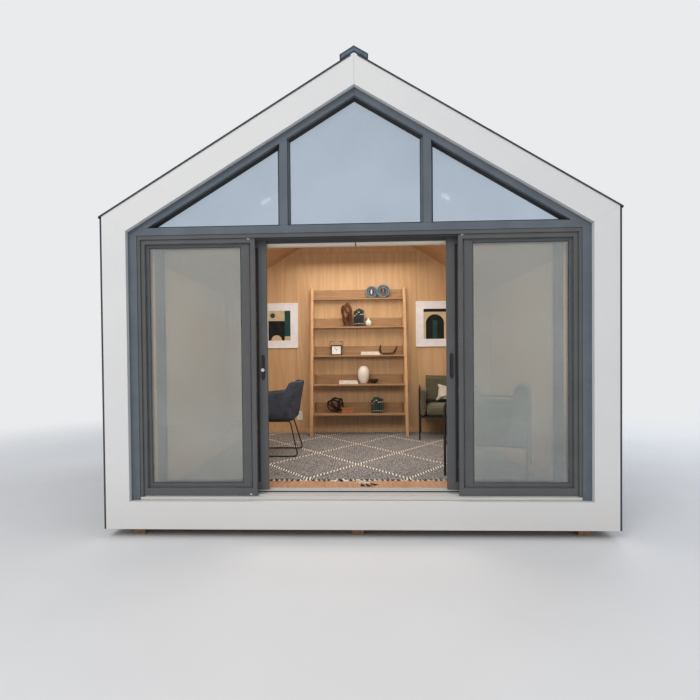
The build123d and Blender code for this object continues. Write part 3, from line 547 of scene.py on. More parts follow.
def prism(bm, outline, y0, y1, tone=None, layer=None):
    """Adds an outline in x and z, pushed from y0 to y1."""
    near = [bm.verts.new((x, y0, z)) for x, z in outline]
    far = [bm.verts.new((x, y1, z)) for x, z in outline]
    bm.faces.new(near)
    bm.faces.new(far[::-1])
    for i in range(len(outline)):
        j = (i + 1) % len(outline)
        bm.faces.new((near[j], near[i], far[i], far[j]))
    if layer:
        for v in near + far:
            v[layer] = tone


def made(name, bm, material):
    """Turns a mesh under construction into an object with its faces outwards."""
    bmesh.ops.recalc_face_normals(bm, faces=bm.faces)
    piece = meshed(name, bm)
    piece.data.materials.append(material)
    return piece


low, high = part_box("ridge_cap")
bm = bmesh.new()
tone = bm.verts.layers.float.new("tone")
rng = random.Random(8)
# the vent is a solid strip between the decks and the folded shingles
vent_x = high.x - VENT_BACK
vent_peak = high.z - CAP_LAYER - VENT_GAP
deck_top = deck_peak.z + VENT_FOOT / math.cos(PITCH_ANGLE)
fall = ROOF_SLOPE * vent_x
prism(bm, [(-vent_x, deck_top - fall), (0, deck_top), (vent_x, deck_top - fall), (vent_x, vent_peak - fall),
           (0, vent_peak), (-vent_x, vent_peak - fall)], low.y + VENT_ENDS, high.y - VENT_ENDS, 0.15, tone)
count = int((high.y - low.y) / CAP_STEP)
step = (high.y - low.y) / count
for i in range(count):
    y0 = low.y + i * step
    peak = high.z - (0.0 if i % 2 else CAP_DROP)
    fold = peak - ROOF_SLOPE * high.x
    prism(bm, [(-high.x, fold - CAP_LAYER), (0, peak - CAP_LAYER), (high.x, fold - CAP_LAYER), (high.x, fold),
               (0, peak), (-high.x, fold)], y0 + CAP_JOINT, y0 + step - CAP_JOINT, rng.random(), tone)
settle(made("ridge_shingles", bm, slate_grit), "shingle", stands_for=["ridge_cap"], edge=0.0012)


# White front
# Boards of white painted fibre cement, 44 mm deep, mitred at foot, eaves and peak with a hairline
# joint. The paint is smooth, with a faint drawn texture and painted warm light from the ground near its foot.
POST_BOARD_W, EAVE_CORNER_Z = 0.1825, 2.446
MITRE_SHADOW_W, MITRE_SHADOW_ENDS, MITRE_SHADOW_DEEP, MITRE_SHADOW_SUNK = 0.006, 0.003, 0.003, 0.0003
white_paint, tree, place = empty_material("white painted fibre cement")
spot = add(tree, "SeparateXYZ", {0: place}).outputs
cloud = add(tree, "TexNoise", {"Vector": place, "Scale": 2.2, "Detail": 6.0, "Roughness": 0.62})
clean = add(tree, "Mix RGBA", {0: cloud, 6: "#d5d6d7", 7: "#dfdfdf"})
# painted reflection: the boards turn warmer towards the ground, as if lit by the ground below
near_ground = add(tree, "MapRange", {"Value": spot["Z"], "From Min": 0.55, "From Max": 0.07, "To Max": 0.5})
ground_bounce = add(tree, "Math MULTIPLY", {0: near_ground, 1: cloud})
tint = add(tree, "Mix RGBA", {0: ground_bounce, 6: clean, 7: "#c2b7aa"})
skin = add(tree, "TexNoise", {"Vector": place, "Scale": 180.0, "Detail": 3.0})
rough = add(tree, "MapRange", {"Value": cloud, "To Min": 0.38, "To Max": 0.58})
bump = add(tree, "Bump", {"Height": skin, "Strength": 0.10, "Distance": 0.0004})
surface(tree, {"Base Color": tint, "Roughness": rough, "Normal": bump})
dress("post_boards rake_boards bottom_board", white_paint, edge=0.0018)
# a grey strip lies in the groove of each mitre at the feet and the eaves: painted shadow in the joint
mitre_shadow_paint = painted_metal("grey painted mitre shadow", "#6f7173", "#7c7e80", roughness=0.7)
low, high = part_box("post_boards")
bm = bmesh.new()
for side in (-1, 1):
    for outer_z, inner_z in ((low.z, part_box("bottom_board")[1].z),
                             (EAVE_CORNER_Z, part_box("rake_boards")[0].z)):
        outer = Vector((side * high.x, outer_z))
        inner = Vector((side * (high.x - POST_BOARD_W), inner_z))
        along = (inner - outer).normalized()
        across = Vector((-along.y, along.x)) * MITRE_SHADOW_W / 2
        a, b = outer + along * MITRE_SHADOW_ENDS, inner - along * MITRE_SHADOW_ENDS
        prism(bm, [a - across, b - across, b + across, a + across],
              low.y + MITRE_SHADOW_SUNK, low.y + MITRE_SHADOW_DEEP)
settle(made("mitre_sealant", bm, mitre_shadow_paint), "white_board")


# Gable window
# Slate-grey powder-coated aluminium posts, rafters, transom and mullions hold three coated double
# panes. Sloping beads press each pane against a black gasket, outside and in.
BEAD_W, BEAD_T, BEAD_LIP, BEAD_TOE, GASKET_W, GASKET_RISE = 0.014, 0.016, 0.004, 0.002, 0.005, 0.0015
MULLION_W, BITE = 0.058, 0.012
slate = painted_metal("slate-grey powder coat", "#575f68", "#727b85", roughness=0.45)
gasket_black = mottled("black gasket rubber", "#151617", "#2c2d2e", scale=40.0, detail=3.0,
                       roughness=(0.7, 0.7))


def coated_glass(name, tint, mirror_tint, mirrored):
    """Double glazing with a thin metal coating: a clear tinted pane that mirrors a share of the sky, a
    little more in some places than in others, and whose flatness wavers."""
    material, tree, place = empty_material(name)
    flow = add(tree, "TexNoise", {"Vector": place, "Scale": 1.1, "Detail": 1.0})
    coat = add(tree, "TexNoise", {"Vector": place, "Scale": 1.6, "Detail": 4.0, "Roughness": 0.55})
    least = add(tree, "MapRange", {"Value": coat, "From Min": 0.35, "From Max": 0.65,
                                   "To Min": mirrored - 0.05, "To Max": mirrored + 0.05})
    bump = add(tree, "Bump", {"Height": flow, "Strength": 0.04, "Distance": 0.02})
    clear = add(tree, "BsdfTransparent", {"Color": tint})
    shine = add(tree, "BsdfPrincipled", {"Base Color": mirror_tint, "Metallic": 1.0, "Roughness": 0.02,
                                         "Normal": bump})
    edge = add(tree, "LayerWeight", {"Blend": 0.25}).outputs["Facing"]
    share = add(tree, "MapRange", {"Value": edge, "To Min": least, "To Max": 0.95})
    add(tree, "OutputMaterial", {"Surface": add(tree, "MixShader", {0: share, 1: clear, 2: shine})})
    return material


def skin(bm, loops, caps=True):
    """Joins neighbouring loops of points with faces, and closes the two ends."""
    sides = len(loops[0])
    for a, b in zip(loops, loops[1:]):
        for i in range(sides):
            j = (i + 1) % sides
            bm.faces.new((a[i], a[j], b[j], b[i]))
    if caps:
        bm.faces.new(loops[0][::-1])
        bm.faces.new(loops[-1])


def inset(outline, distance):
    """Moves the sides of an anticlockwise outline inwards."""
    result = []
    for i, point in enumerate(outline):
        p = Vector(point)
        before = (p - Vector(outline[i - 1])).normalized()
        after = (Vector(outline[(i + 1) % len(outline)]) - p).normalized()
        n0 = Vector((-before.y, before.x))
        n1 = Vector((-after.y, after.x))
        result.append(p + (n0 + n1) * distance / (1 + n0.dot(n1)))
    return result


def ring(bm, outline, profile):
    """Runs a closed profile of (inset, y) points round an outline in x and z."""
    loops = [[bm.verts.new((p.x, y, p.y)) for p in inset(outline, d)] for d, y in profile]
    skin(bm, loops + loops[:1], caps=False)


dress("frame_posts gable_rafters gable_transom gable_mullions", slate, edge=0.0015)
dress("gable_glass", coated_glass("coated double glazing, sky side", "#d3dadf", "#d6e2f0", 0.70))
low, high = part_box("gable_glass")
outer_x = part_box("gable_mullions")[1].x
inner_x = outer_x - MULLION_W
sill_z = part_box("gable_transom")[1].z
peak_z = high.z - BITE / math.cos(PITCH_ANGLE)
inner_z, outer_z = [peak_z - ROOF_SLOPE * x for x in (inner_x, outer_x)]
middle_pane = [(-inner_x, sill_z), (inner_x, sill_z), (inner_x, inner_z), (0, peak_z), (-inner_x, inner_z)]
corner_pane = [(outer_x, sill_z), ((peak_z - sill_z) / ROOF_SLOPE, sill_z), (outer_x, outer_z)]
bm, rubber = bmesh.new(), bmesh.new()
for outline in (middle_pane, corner_pane, [(-x, z) for x, z in corner_pane[::-1]]):
    for face, out in ((low.y, -1), (high.y, 1)):
        ring(bm, outline, [(0, face), (0, face + out * BEAD_T), (BEAD_LIP, face + out * BEAD_T),
                           (BEAD_W, face + out * BEAD_TOE), (BEAD_W, face)])
        ring(rubber, outline, [(BEAD_W, face), (BEAD_W, face + out * GASKET_RISE),
                               (BEAD_W + GASKET_W, face + out * GASKET_RISE), (BEAD_W + GASKET_W, face)])
beads = made("gable_beads", bm, slate)
beads.data.materials.append(gasket_black)
# the beads under the rafters take the black rubber finish, as painted shadow of the rafters on the glass
for face in beads.data.polygons:
    under = peak_z - ROOF_SLOPE * abs(face.center.x) - face.center.z
    if under * math.cos(PITCH_ANGLE) < BEAD_W + 0.001:
        face.material_index = 1
settle(beads, "slate_frame", edge=0.0008)
settle(made("gable_gaskets", rubber, gasket_black), "slate_frame")


# Door unit and sliding doors
# Dark grey powder-coated aluminium head, jambs and leaves on a stepped sill of natural anodised
# aluminium. Each pane sits behind beads and a gasket; the doors run on two shoes.
# the black strip on the sill's rail: its face, depth, foot, top and how far it ends from the jambs
RAIL_FACE_Y, RAIL_STRIP_T, RAIL_STRIP_FOOT_Z, RAIL_STRIP_TOP_Z, RAIL_STRIP_ENDS = -1.517, 0.002, 0.3155, 0.3235, 0.002
STRIP_W, STRIP_T, STILE_W, FIXED_LAP = 0.018, 0.003, 0.066, 0.121
GASKET_T, GASKET_LAP = 0.002, 0.0005
THUMB_TURN_Z, BLADE_LOW, BLADE_HIGH = 1.266, (-0.0025, -0.019, -0.012), (0.0025, -0.009, 0.012)


def block(bm, low, high, turn=0.0):
    """A box between two corners, turned about its own upright middle line."""
    middle = (Vector(low) + Vector(high)) / 2
    verts = bmesh.ops.create_cube(bm, size=1)["verts"]
    for v in verts:
        v.co = Vector((v.co.x * (high[0] - low[0]), v.co.y * (high[1] - low[1]), v.co.z * (high[2] - low[2])))
    bmesh.ops.rotate(bm, verts=verts, cent=(0, 0, 0), matrix=Matrix.Rotation(turn, 3, "Z"))
    bmesh.ops.translate(bm, verts=verts, vec=middle)
    return verts


def disc(bm, centre, radius, depth, segments):
    """A round plate that faces the front."""
    bmesh.ops.create_cone(bm, cap_ends=True, segments=segments, radius1=radius, radius2=radius, depth=depth,
                          matrix=Matrix.Translation(centre) @ Matrix.Rotation(math.pi / 2, 4, "X"))


def gaskets(bm, x0, x1, low, high):
    """A gasket on both faces of a pane with this box, round its opening from x0 to x1."""
    z0, z1 = low.z + BITE, high.z - BITE
    for face, out in ((low.y, -1), (high.y, 1)):
        front = face + out * GASKET_T
        ring(bm, [(x0, z0), (x1, z0), (x1, z1), (x0, z1)],
             [(-GASKET_LAP, face), (-GASKET_LAP, front), (GASKET_W, front), (GASKET_W, face)])


dark_coat = painted_metal("dark grey powder coat", "#515254", "#67686b", roughness=0.42)
dress("door_head door_jambs fixed_panel_frames right_door_frame left_door_frame", dark_coat, edge=0.0012)
anodised = mottled("natural anodised aluminium", "#cfcfcd", "#e6e5e2", scale=420.0, detail=4.0,
                   roughness=(0.36, 0.55), bump=(0.15, 0.0003), drawn=(0.02, 1.0, 1.0), metallic=0.45)
dress("door_sill", anodised, edge=0.0008)
# a black strip stands against the front of the door rail, all along the sill, and makes the rail's face dark
low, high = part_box("door_sill")
bm = bmesh.new()
block(bm, (low.x + RAIL_STRIP_ENDS, RAIL_FACE_Y - RAIL_STRIP_T, RAIL_STRIP_FOOT_Z),
      (high.x - RAIL_STRIP_ENDS, RAIL_FACE_Y, RAIL_STRIP_TOP_Z))
settle(made("rail_pile_strip", bm, gasket_black), "dark_frame", edge=0.0004)
dress("fixed_panel_glass right_door_glass left_door_glass",
      coated_glass("coated double glazing, room side", "#f3f4f1", "#dde0dd", 0.27))
for label in ("right", "left"):
    low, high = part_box(label + "_door_glass")
    bm = bmesh.new()
    # a second black strip lies on the pane, along the stile that has the pull, and makes the gap beside that
    # stile dark
    edge = high.x - BITE - STRIP_W if label == "left" else low.x + BITE
    block(bm, (edge, low.y - STRIP_T, low.z + BITE), (edge + STRIP_W, low.y, high.z - BITE))
    gaskets(bm, low.x + BITE, high.x - BITE, low, high)
    settle(made(label + "_door_gaskets", bm, gasket_black), "dark_frame", body=label + "_door")
low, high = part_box("fixed_panel_glass")
edge_in, edge_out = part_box("right_door_frame")[0].x + FIXED_LAP + STILE_W, high.x - BITE
bm = bmesh.new()
gaskets(bm, edge_in, edge_out, low, high)
gaskets(bm, -edge_out, -edge_in, low, high)
settle(made("fixed_panel_gaskets", bm, gasket_black), "dark_frame")
black_satin = painted_metal("black satin powder coat", "#1b1c1d", "#303234", roughness=0.38)
dress("right_door_handle left_door_handle", black_satin, edge=0.0015)
chrome = painted_metal("polished chrome", "#d8dadc", "#c2c5c8", roughness=0.16, metallic=1.0)
low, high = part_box("left_door_handle")
turn_at = Vector(((low.x + high.x) / 2, low.y, THUMB_TURN_Z))
bm = bmesh.new()
for radius, reach in ((0.014, 0.004), (0.006, 0.016)):
    disc(bm, turn_at - Vector((0, reach / 2, 0)), radius, depth=reach, segments=28)
block(bm, turn_at + Vector(BLADE_LOW), turn_at + Vector(BLADE_HIGH))
settle(made("thumb_turn", bm, chrome), "sill_aluminium", body="left_door", edge=0.0008)


# Insect screens
# Woven glass-fibre mesh, dark grey, pulled tight and rolled into a groove round each screen frame. Pale
# nylon keys show at the mitres of the frames.
MESH_PITCH = 0.0016
KEY_W, KEY_T, KEY_H = 0.016, 0.001, 0.008
dress("right_screen_frame left_screen_frame", dark_coat, edge=0.0012)
mesh_cloth, tree, place = empty_material("woven glass-fibre insect mesh")
spot = add(tree, "SeparateXYZ", {0: place}).outputs
threads = []
for axis in ("X", "Z"):
    turn = add(tree, "Math MULTIPLY", {0: spot[axis], 1: 2 * math.pi / MESH_PITCH})
    threads.append(add(tree, "Math MULTIPLY", {0: add(tree, "Math COSINE", {0: turn}), 1: 0.5}))
woven = add(tree, "Math MAXIMUM", {0: threads[0], 1: threads[1]})
# the holes keep a little veil and the threads let some light by, because at this distance they merge
veil = add(tree, "MapRange", {"Value": woven, "From Max": 0.5, "To Min": 0.06, "To Max": 0.18})
shade = add(tree, "TexNoise", {"Vector": place, "Scale": 3.0})
tint = add(tree, "Mix RGBA", {0: shade, 6: "#6a6c6e", 7: "#85878a"})
surface(tree, {"Base Color": tint, "Roughness": 0.6, "Alpha": veil})
nylon = painted_metal("pale nylon corner key", "#d9d9d6", "#c8c8c4", roughness=0.55)
for label in ("right", "left"):
    low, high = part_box(label + "_screen_mesh")
    bm = bmesh.new()
    bm.faces.new([bm.verts.new((x, (low.y + high.y) / 2, z)) for x, z in (
        (low.x, low.z), (high.x, low.z), (high.x, high.z), (low.x, high.z))])
    bmesh.ops.subdivide_edges(bm, edges=bm.edges, cuts=15, use_grid_fill=True)
    cloth = made(label + "_insect_mesh", bm, mesh_cloth)
    settle(cloth, "insect_mesh", body=label + "_screen", stands_for=[label + "_screen_mesh"])
# the keys that the leaves leave in sight: frame, place across and heights
for label, x, heights in (("left", -0.812, (2.262, 0.322)), ("right", 0.792, (2.262,))):
    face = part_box(label + "_screen_frame")[0].y
    bm = bmesh.new()
    for z in heights:
        block(bm, (x - KEY_W / 2, face - KEY_T, z - KEY_H / 2), (x + KEY_W / 2, face, z + KEY_H / 2))
    settle(made(label + "_corner_keys", bm, nylon), "blind_fabric", body=label + "_screen")


# Blinds and lights
# Two cream aluminium blind cassettes are screwed under the head. Four downlights with a white rim and
# an opal lens are clipped into the ceiling.
cream_paint = painted_metal("cream painted aluminium", "#f0e4d4", "#e2d4c2", roughness=0.4)
dress("blind_cassettes", cream_paint, edge=0.001)
opal, tree, place = empty_material("lit opal lens")
mottle = add(tree, "TexNoise", {"Vector": place, "Scale": 30.0})
warm = add(tree, "Mix RGBA", {0: mottle, 6: "#fff2dc", 7: "#fffaf0"})
surface(tree, {"Base Color": warm, "Roughness": 0.4, "Emission Color": warm, "Emission Strength": 2.5})
dress("ceiling_lights", opal)
area_light("room light", (0, 0.2, 2.65), (0, 0.2, 0), (1.6, 2.2), 44, "#fff6ea")
area_light("room fill", (0, -1.20, 1.90), (0, 1.4, 1.1), (2.4, 0.5), 24, "#fff8f0")


# Leaning bookcase
# Oiled oak: two leaning posts and five trays, each a board with a raised back and cheeks, screwed
# between the posts through the cheeks.
dress("bookcase_posts", timber("oiled oak, upright", "#cfa880", "#ab835b", "Z"), edge=0.003)
dress("bookcase_shelves", timber("oiled oak, on edge", "#a98663", "#7d5d40", "X"), edge=0.0015)


# Things on the shelves
# Glazed and bisque pottery, turned and carved wood, bent wire and cloth-bound books. Each stands or
# lies on its tray, turned a little by hand.
SHELF_FIRST, SHELF_PITCH = 0.630, 0.381
SHELF_TOPS = [SHELF_FIRST + SHELF_PITCH * i for i in range(5)]


def speckled(name, pale, dark, roughness, grain=0.004, bump_depth=0.0004, coat=0.0, spread=0.5):
    """Clay, paper, wood or cloth in two close tones, with a fine grain of a given size."""
    material, tree, place = empty_material(name)
    fine = add(tree, "TexNoise", {"Vector": place, "Scale": 1 / grain, "Detail": 3.0})
    broad = add(tree, "TexNoise", {"Vector": place, "Scale": 14.0, "Detail": 3.0})
    level = add(tree, "Math MULTIPLY_ADD", {0: fine, 1: spread, 2: broad})
    share = add(tree, "MapRange", {"Value": level, "From Min": 0.45, "From Max": 1.0})
    tint = add(tree, "Mix RGBA", {0: share, 6: pale, 7: dark})
    rough = add(tree, "MapRange", {"Value": fine, "To Min": roughness - 0.06, "To Max": roughness + 0.06})
    bump = add(tree, "Bump", {"Height": fine, "Strength": 0.5, "Distance": bump_depth})
    surface(tree, {"Base Color": tint, "Roughness": rough, "Normal": bump, "Coat Weight": coat,
                   "Coat Roughness": 0.2})
    return material


def turns(count):
    """Angles in even steps round a circle."""
    return [2 * math.pi * i / count for i in range(count)]


def thrown(bm, profile, at, sides=40, flat=1.0):
    """Turns a profile of (radius, height), in mm, about an upright axis at a point."""
    skin(bm, [[bm.verts.new((at[0] + radius / 1000 * math.cos(a), at[1] + radius / 1000 * math.sin(a) * flat,
                             at[2] + height / 1000)) for a in turns(sides)] for radius, height in profile])


def bent_rod(bm, points, radius, sides=10, closed=False):
    """A round rod that follows a row of points."""
    points = [Vector(p) for p in points]
    count = len(points)
    loops = []
    side = None
    for i, point in enumerate(points):
        before = points[i - 1] if i or closed else point
        after = points[(i + 1) % count] if i < count - 1 or closed else point
        along = (after - before).normalized()
        if side is None:
            side = along.orthogonal().normalized()
        side = (side - along * side.dot(along)).normalized()
        other = along.cross(side)
        loops.append([bm.verts.new(point + (side * math.cos(a) + other * math.sin(a)) * radius)
                      for a in turns(sides)])
    if closed:
        last, first = loops[-1], loops[0]
        shift = min(range(sides), key=lambda k: (last[0].co - first[k].co).length)
        loops.append(first[shift:] + first[:shift])
    skin(bm, loops, caps=not closed)


def knot(bm, hoops, radius, steps=48):
    """Closed hoops of rod: each has a centre, a reach across and up, a tilt, a turn and a wave."""
    for centre, reach, tilt, turn, wave in hoops:
        spin = Matrix.Rotation(turn, 3, "Z") @ Matrix.Rotation(tilt, 3, "X")
        bent_rod(bm, [Vector(centre) + spin @ Vector((reach[0] * math.cos(a), wave * math.sin(2 * a),
                                                      reach[1] * math.sin(a))) for a in turns(steps)],
                 radius, closed=True)


bisque = speckled("white bisque stoneware", "#e9e4dc", "#cfc8bd", 0.6)
burnished = speckled("black burnished stoneware", "#1d1c1b", "#2f2c29", 0.35, coat=0.2)
for label, ware, slot, sides, at, profile in (
        ("oval_vase", bisque, "blind_fabric", 48, (0.086, 1.40, SHELF_TOPS[1]),
         ((1, 0), (40, 0), (46, 6), (64, 50), (77, 105), (79, 145), (70, 190), (52, 215), (40, 222),
          (41, 232), (37, 233), (34, 222), (45, 205), (60, 180), (68, 140), (66, 105), (35, 12), (1, 10))),
        ("bud_vase", bisque, "blind_fabric", 36, (0.158, 1.44, SHELF_TOPS[3]),
         ((1, 0), (20, 0), (36, 12), (45, 34), (43, 58), (28, 78), (12, 90), (10, 103), (13, 112), (10, 113),
          (7, 103), (8, 90), (24, 74), (38, 50), (20, 8), (1, 7))),
        ("small_bowl", burnished, "black_steel", 40, (0.222, 1.40, SHELF_TOPS[1]),
         ((1, 0), (26, 0), (28, 5), (46, 22), (61, 47), (64, 60), (61, 61), (56, 48), (40, 22), (1, 10)))):
    bm = bmesh.new()
    thrown(bm, profile, at, sides)
    settle(made(label, bm, ware), slot, smooth=True)

blue_glaze = speckled("blue-grey glazed stoneware", "#74848f", "#4a565f", 0.3, coat=0.4)
dark_glaze = speckled("dark slate glaze", "#2b3036", "#3a4047", 0.4, coat=0.3)
for label, x, y, radius, bar in (
        ("left", 0.203, 1.486, 0.081, speckled("cream glaze", "#e6dccb", "#cdbfa9", 0.35, coat=0.3)),
        ("right", 0.359, 1.463, 0.089, speckled("rust glaze", "#b5714f", "#8e5236", 0.35, coat=0.3))):
    centre = Vector((x, y, SHELF_TOPS[4] + radius + 0.001))
    bm = bmesh.new()
    for reach, tube, depth in ((0.84, 0.16, 0.009), (0.54, 0.11, 0.008)):
        loops = []
        for a in turns(56):
            out = Vector((math.cos(a), 0, math.sin(a))) * radius
            loops.append([bm.verts.new(centre + out * (reach + tube * math.cos(b))
                                       + Vector((0, depth * math.sin(b), 0))) for b in turns(12)])
        skin(bm, loops + loops[:1], caps=False)
    settle(made(label + "_ring_disc", bm, blue_glaze), "blind_fabric", smooth=True)
    bm = bmesh.new()
    disc(bm, centre + Vector((0, 0.006, 0)), radius * 0.86, depth=0.004, segments=40)
    settle(made(label + "_disc_back", bm, dark_glaze), "black_steel")
    bm = bmesh.new()
    thrown(bm, [(2, 0), (8, 2), (11, 10), (11, radius * 660), (8, radius * 740), (2, radius * 760)],
           (centre.x, centre.y - 0.002, centre.z - radius * 0.38), sides=14, flat=0.7)
    settle(made(label + "_disc_bar", bm, bar), "blind_fabric", smooth=True)

walnut = timber("carved walnut", "#6a4028", "#3c2216", "Z", ring=0.006, roughness=0.45, coat=0.2)
bm = bmesh.new()
x, y, z = -0.128, 1.440, SHELF_TOPS[3]
thrown(bm, ((1, 0), (52, 0), (55, 4), (52, 16), (30, 20), (1, 20)), (x, y, z), sides=32, flat=0.75)
knot(bm, (((x, y, z + 0.158), (0.054, 0.142), 0.05, 0.25, 0.014),
          ((x - 0.014, y, z + 0.194), (0.060, 0.092), 0.15, -0.5, 0.012),
          ((x + 0.016, y, z + 0.244), (0.046, 0.066), -0.2, 0.7, 0.010),
          ((x + 0.004, y, z + 0.104), (0.042, 0.086), 0.1, 1.2, 0.012)), radius=0.0125)
settle(made("carved_knot", bm, walnut), "case_oak", smooth=True)

BOARD_T, PAGES_BACK, BOOK_GAP, PATCH_T = 0.0028, 0.004, 0.0012, 0.0006
cut_paper = speckled("cut paper edges", "#e3dccb", "#c9bfa9", 0.85, grain=0.0015)


def book(cover_mesh, page_mesh, low, high, turn=0.0):
    """A cloth-bound book with its spine to the front: two boards and a spine round a block of pages."""
    thick = min(range(3), key=lambda k: high[k] - low[k])
    first, second, spine = low[thick] + BOARD_T, high[thick] - BOARD_T, low[1] + BOARD_T

    def moved(corner, axis, value):
        return [value if k == axis else v for k, v in enumerate(corner)]

    middle, turned = (Vector(low) + Vector(high)) / 2, Matrix.Rotation(turn, 3, "Z")
    for bm, a, b in ((cover_mesh, low, moved(high, thick, first)),
                     (cover_mesh, moved(low, thick, second), high),
                     (cover_mesh, low, moved(high, 1, spine)),
                     (page_mesh, moved(moved([v + PAGES_BACK for v in low], thick, first), 1, spine),
                      moved([v - PAGES_BACK for v in high], thick, second))):
        bmesh.ops.rotate(bm, verts=block(bm, a, b), cent=middle, matrix=turned)


spine_paper = speckled("ochre spine labels, blank", "#bfb592", "#98906f", 0.8, grain=0.0015)
for label, shelf, front, x, deep, volumes in (
        ("upper_books", SHELF_TOPS[3], 1.385, -0.036, 0.120,
         (("#23262c", 0.026, 0.205), ("#1c2a33", 0.022, 0.222), ("#2b2b2e", 0.030, 0.236),
          ("#202a38", 0.024, 0.228), ("#33363a", 0.026, 0.214))),
        ("lower_books", SHELF_TOPS[0], 1.250, 0.186, 0.150,
         (("#23292a", 0.020, 0.180), ("#2f4a3d", 0.025, 0.206), ("#1f3a33", 0.030, 0.214),
          ("#26332e", 0.024, 0.208), ("#1d2526", 0.028, 0.196), ("#39423e", 0.022, 0.188)))):
    pages, patches = bmesh.new(), bmesh.new()
    for i, (tone, thick, tall) in enumerate(volumes):
        cover = bmesh.new()
        spine_at = front + 0.004 * (i % 2)
        for rise, patch in ((0.66 + 0.05 * (i % 3), 0.014), (0.14, 0.007)):
            foot = shelf + tall * rise
            block(patches, (x + 0.004, spine_at - PATCH_T, foot), (x + thick - 0.004, spine_at, foot + patch))
        book(cover, pages, (x, spine_at, shelf), (x + thick, front + deep, shelf + tall))
        cloth = speckled("book cloth " + tone, tone, "#3a403f", 0.75, grain=0.0012, spread=0.3)
        settle(made("%s_cover_%d" % (label, i), cover, cloth), "navy_fabric", edge=0.0006)
        x += thick + BOOK_GAP
    settle(made(label + "_pages", pages, cut_paper), "blind_fabric")
    settle(made(label + "_spine_patches", patches, spine_paper), "blind_fabric")
pale_cloth = speckled("pale book cloth", "#ece7df", "#d3ccc0", 0.8, grain=0.0012)
for label, shelf, x0, x1, y0, y1 in (("middle", SHELF_TOPS[2], 0.052, 0.305, 1.350, 1.490),
                                     ("lower", SHELF_TOPS[1], -0.240, 0.012, 1.285, 1.455)):
    cover, pages = bmesh.new(), bmesh.new()
    book(cover, pages, (x0, y0, shelf), (x1, y1, shelf + 0.024), turn=0.03)
    book(cover, pages, (x0 + 0.006, y0 + 0.004, shelf + 0.024), (x1 - 0.010, y1 - 0.006, shelf + 0.044),
         turn=-0.04)
    settle(made(label + "_lying_books", cover, pale_cloth), "blind_fabric", edge=0.0006)
    settle(made(label + "_lying_pages", pages, cut_paper), "blind_fabric")

bm, dial, hands = bmesh.new(), bmesh.new(), bmesh.new()
x0, x1, y0, y1, z = -0.346, -0.200, 1.395, 1.440, SHELF_TOPS[2]
ring(bm, [(x0, z), (x1, z), (x1, z + 0.136), (x0, z + 0.136)],
     [(0, y0), (0, y1), (0.010, y1), (0.010, y0 + 0.006), (0.014, y0 + 0.006), (0.012, y0)])
block(bm, (x0 + 0.002, y1 - 0.004, z + 0.002), (x1 - 0.002, y1, z + 0.134))
for side in (-1, 1):
    foot = Vector(((x0 + x1) / 2 + side * (x1 - x0) / 2, (y0 + y1) / 2, z + 0.082))
    bent_rod(bm, [foot + Vector((side * out, 0, rise)) for out, rise in (
        (0, 0), (0.010, 0.012), (0.014, 0.050), (0.014, 0.088), (0.008, 0.098), (-0.004, 0.101),
        (-0.032, 0.101))], 0.0032, sides=8)
settle(made("clock_case", bm, black_satin), "black_steel", edge=0.0008)
block(dial, (x0 + 0.011, y0 + 0.008, z + 0.011), (x1 - 0.011, y1 - 0.006, z + 0.125))
settle(made("clock_dial", dial, speckled("white enamel", "#eeeeec", "#e2e1de", 0.3)), "blind_fabric")
# two hands and twelve marks, each with half its width and depth, its start and its reach from the middle
strokes = [(0.9, 0.002, 0.0006, -0.006, 0.030), (-0.5, 0.0015, 0.0006, -0.006, 0.042)]
strokes += [(hour, 0.0012, 0.0005, 0.046, 0.052) for hour in turns(12)]
for turn, wide, deep, start, reach in strokes:
    verts = block(hands, (-wide, -deep, start), (wide, deep, reach))
    bmesh.ops.rotate(hands, verts=verts, cent=(0, 0, 0), matrix=Matrix.Rotation(turn, 3, "Y"))
    bmesh.ops.translate(hands, verts=verts, vec=Vector(((x0 + x1) / 2, y0 + 0.0072, z + 0.068)))
settle(made("clock_hands", hands, black_satin), "black_steel")

horn = speckled("polished dark horn", "#2a1d17", "#4a3427", 0.25, coat=0.5)
bm = bmesh.new()
z = SHELF_TOPS[2]
# two arms from one foot: foot, tip, bend between them, thickness and swelling towards the tip
for base, tip, bend, thick, swell in (
        ((0.336, 1.40, z + 0.016), (0.318, 1.42, z + 0.136), (-0.02, 0.0, -0.02), 0.014, 0.0),
        ((0.338, 1.41, z + 0.016), (0.536, 1.39, z + 0.118), (0.03, 0.0, -0.055), 0.013, 0.008)):
    base, tip, side = Vector(base), Vector(tip), Vector((0, 1, 0))
    other = (tip - base).normalized().cross(side).normalized()
    loops = []
    for t in [i / 26 for i in range(27)]:
        spot = base.lerp(tip, t) + Vector(bend) * math.sin(math.pi * t)
        radius = (thick + swell * t * t) * min(1.0, (1 - t) * 4) ** 0.5 + 0.0012
        spot.z = max(spot.z, z + radius)
        loops.append([bm.verts.new(spot + (side * math.cos(a) + other * math.sin(a)) * radius)
                      for a in turns(12)])
    skin(bm, loops)
settle(made("curved_horn", bm, horn), "black_steel", smooth=True)

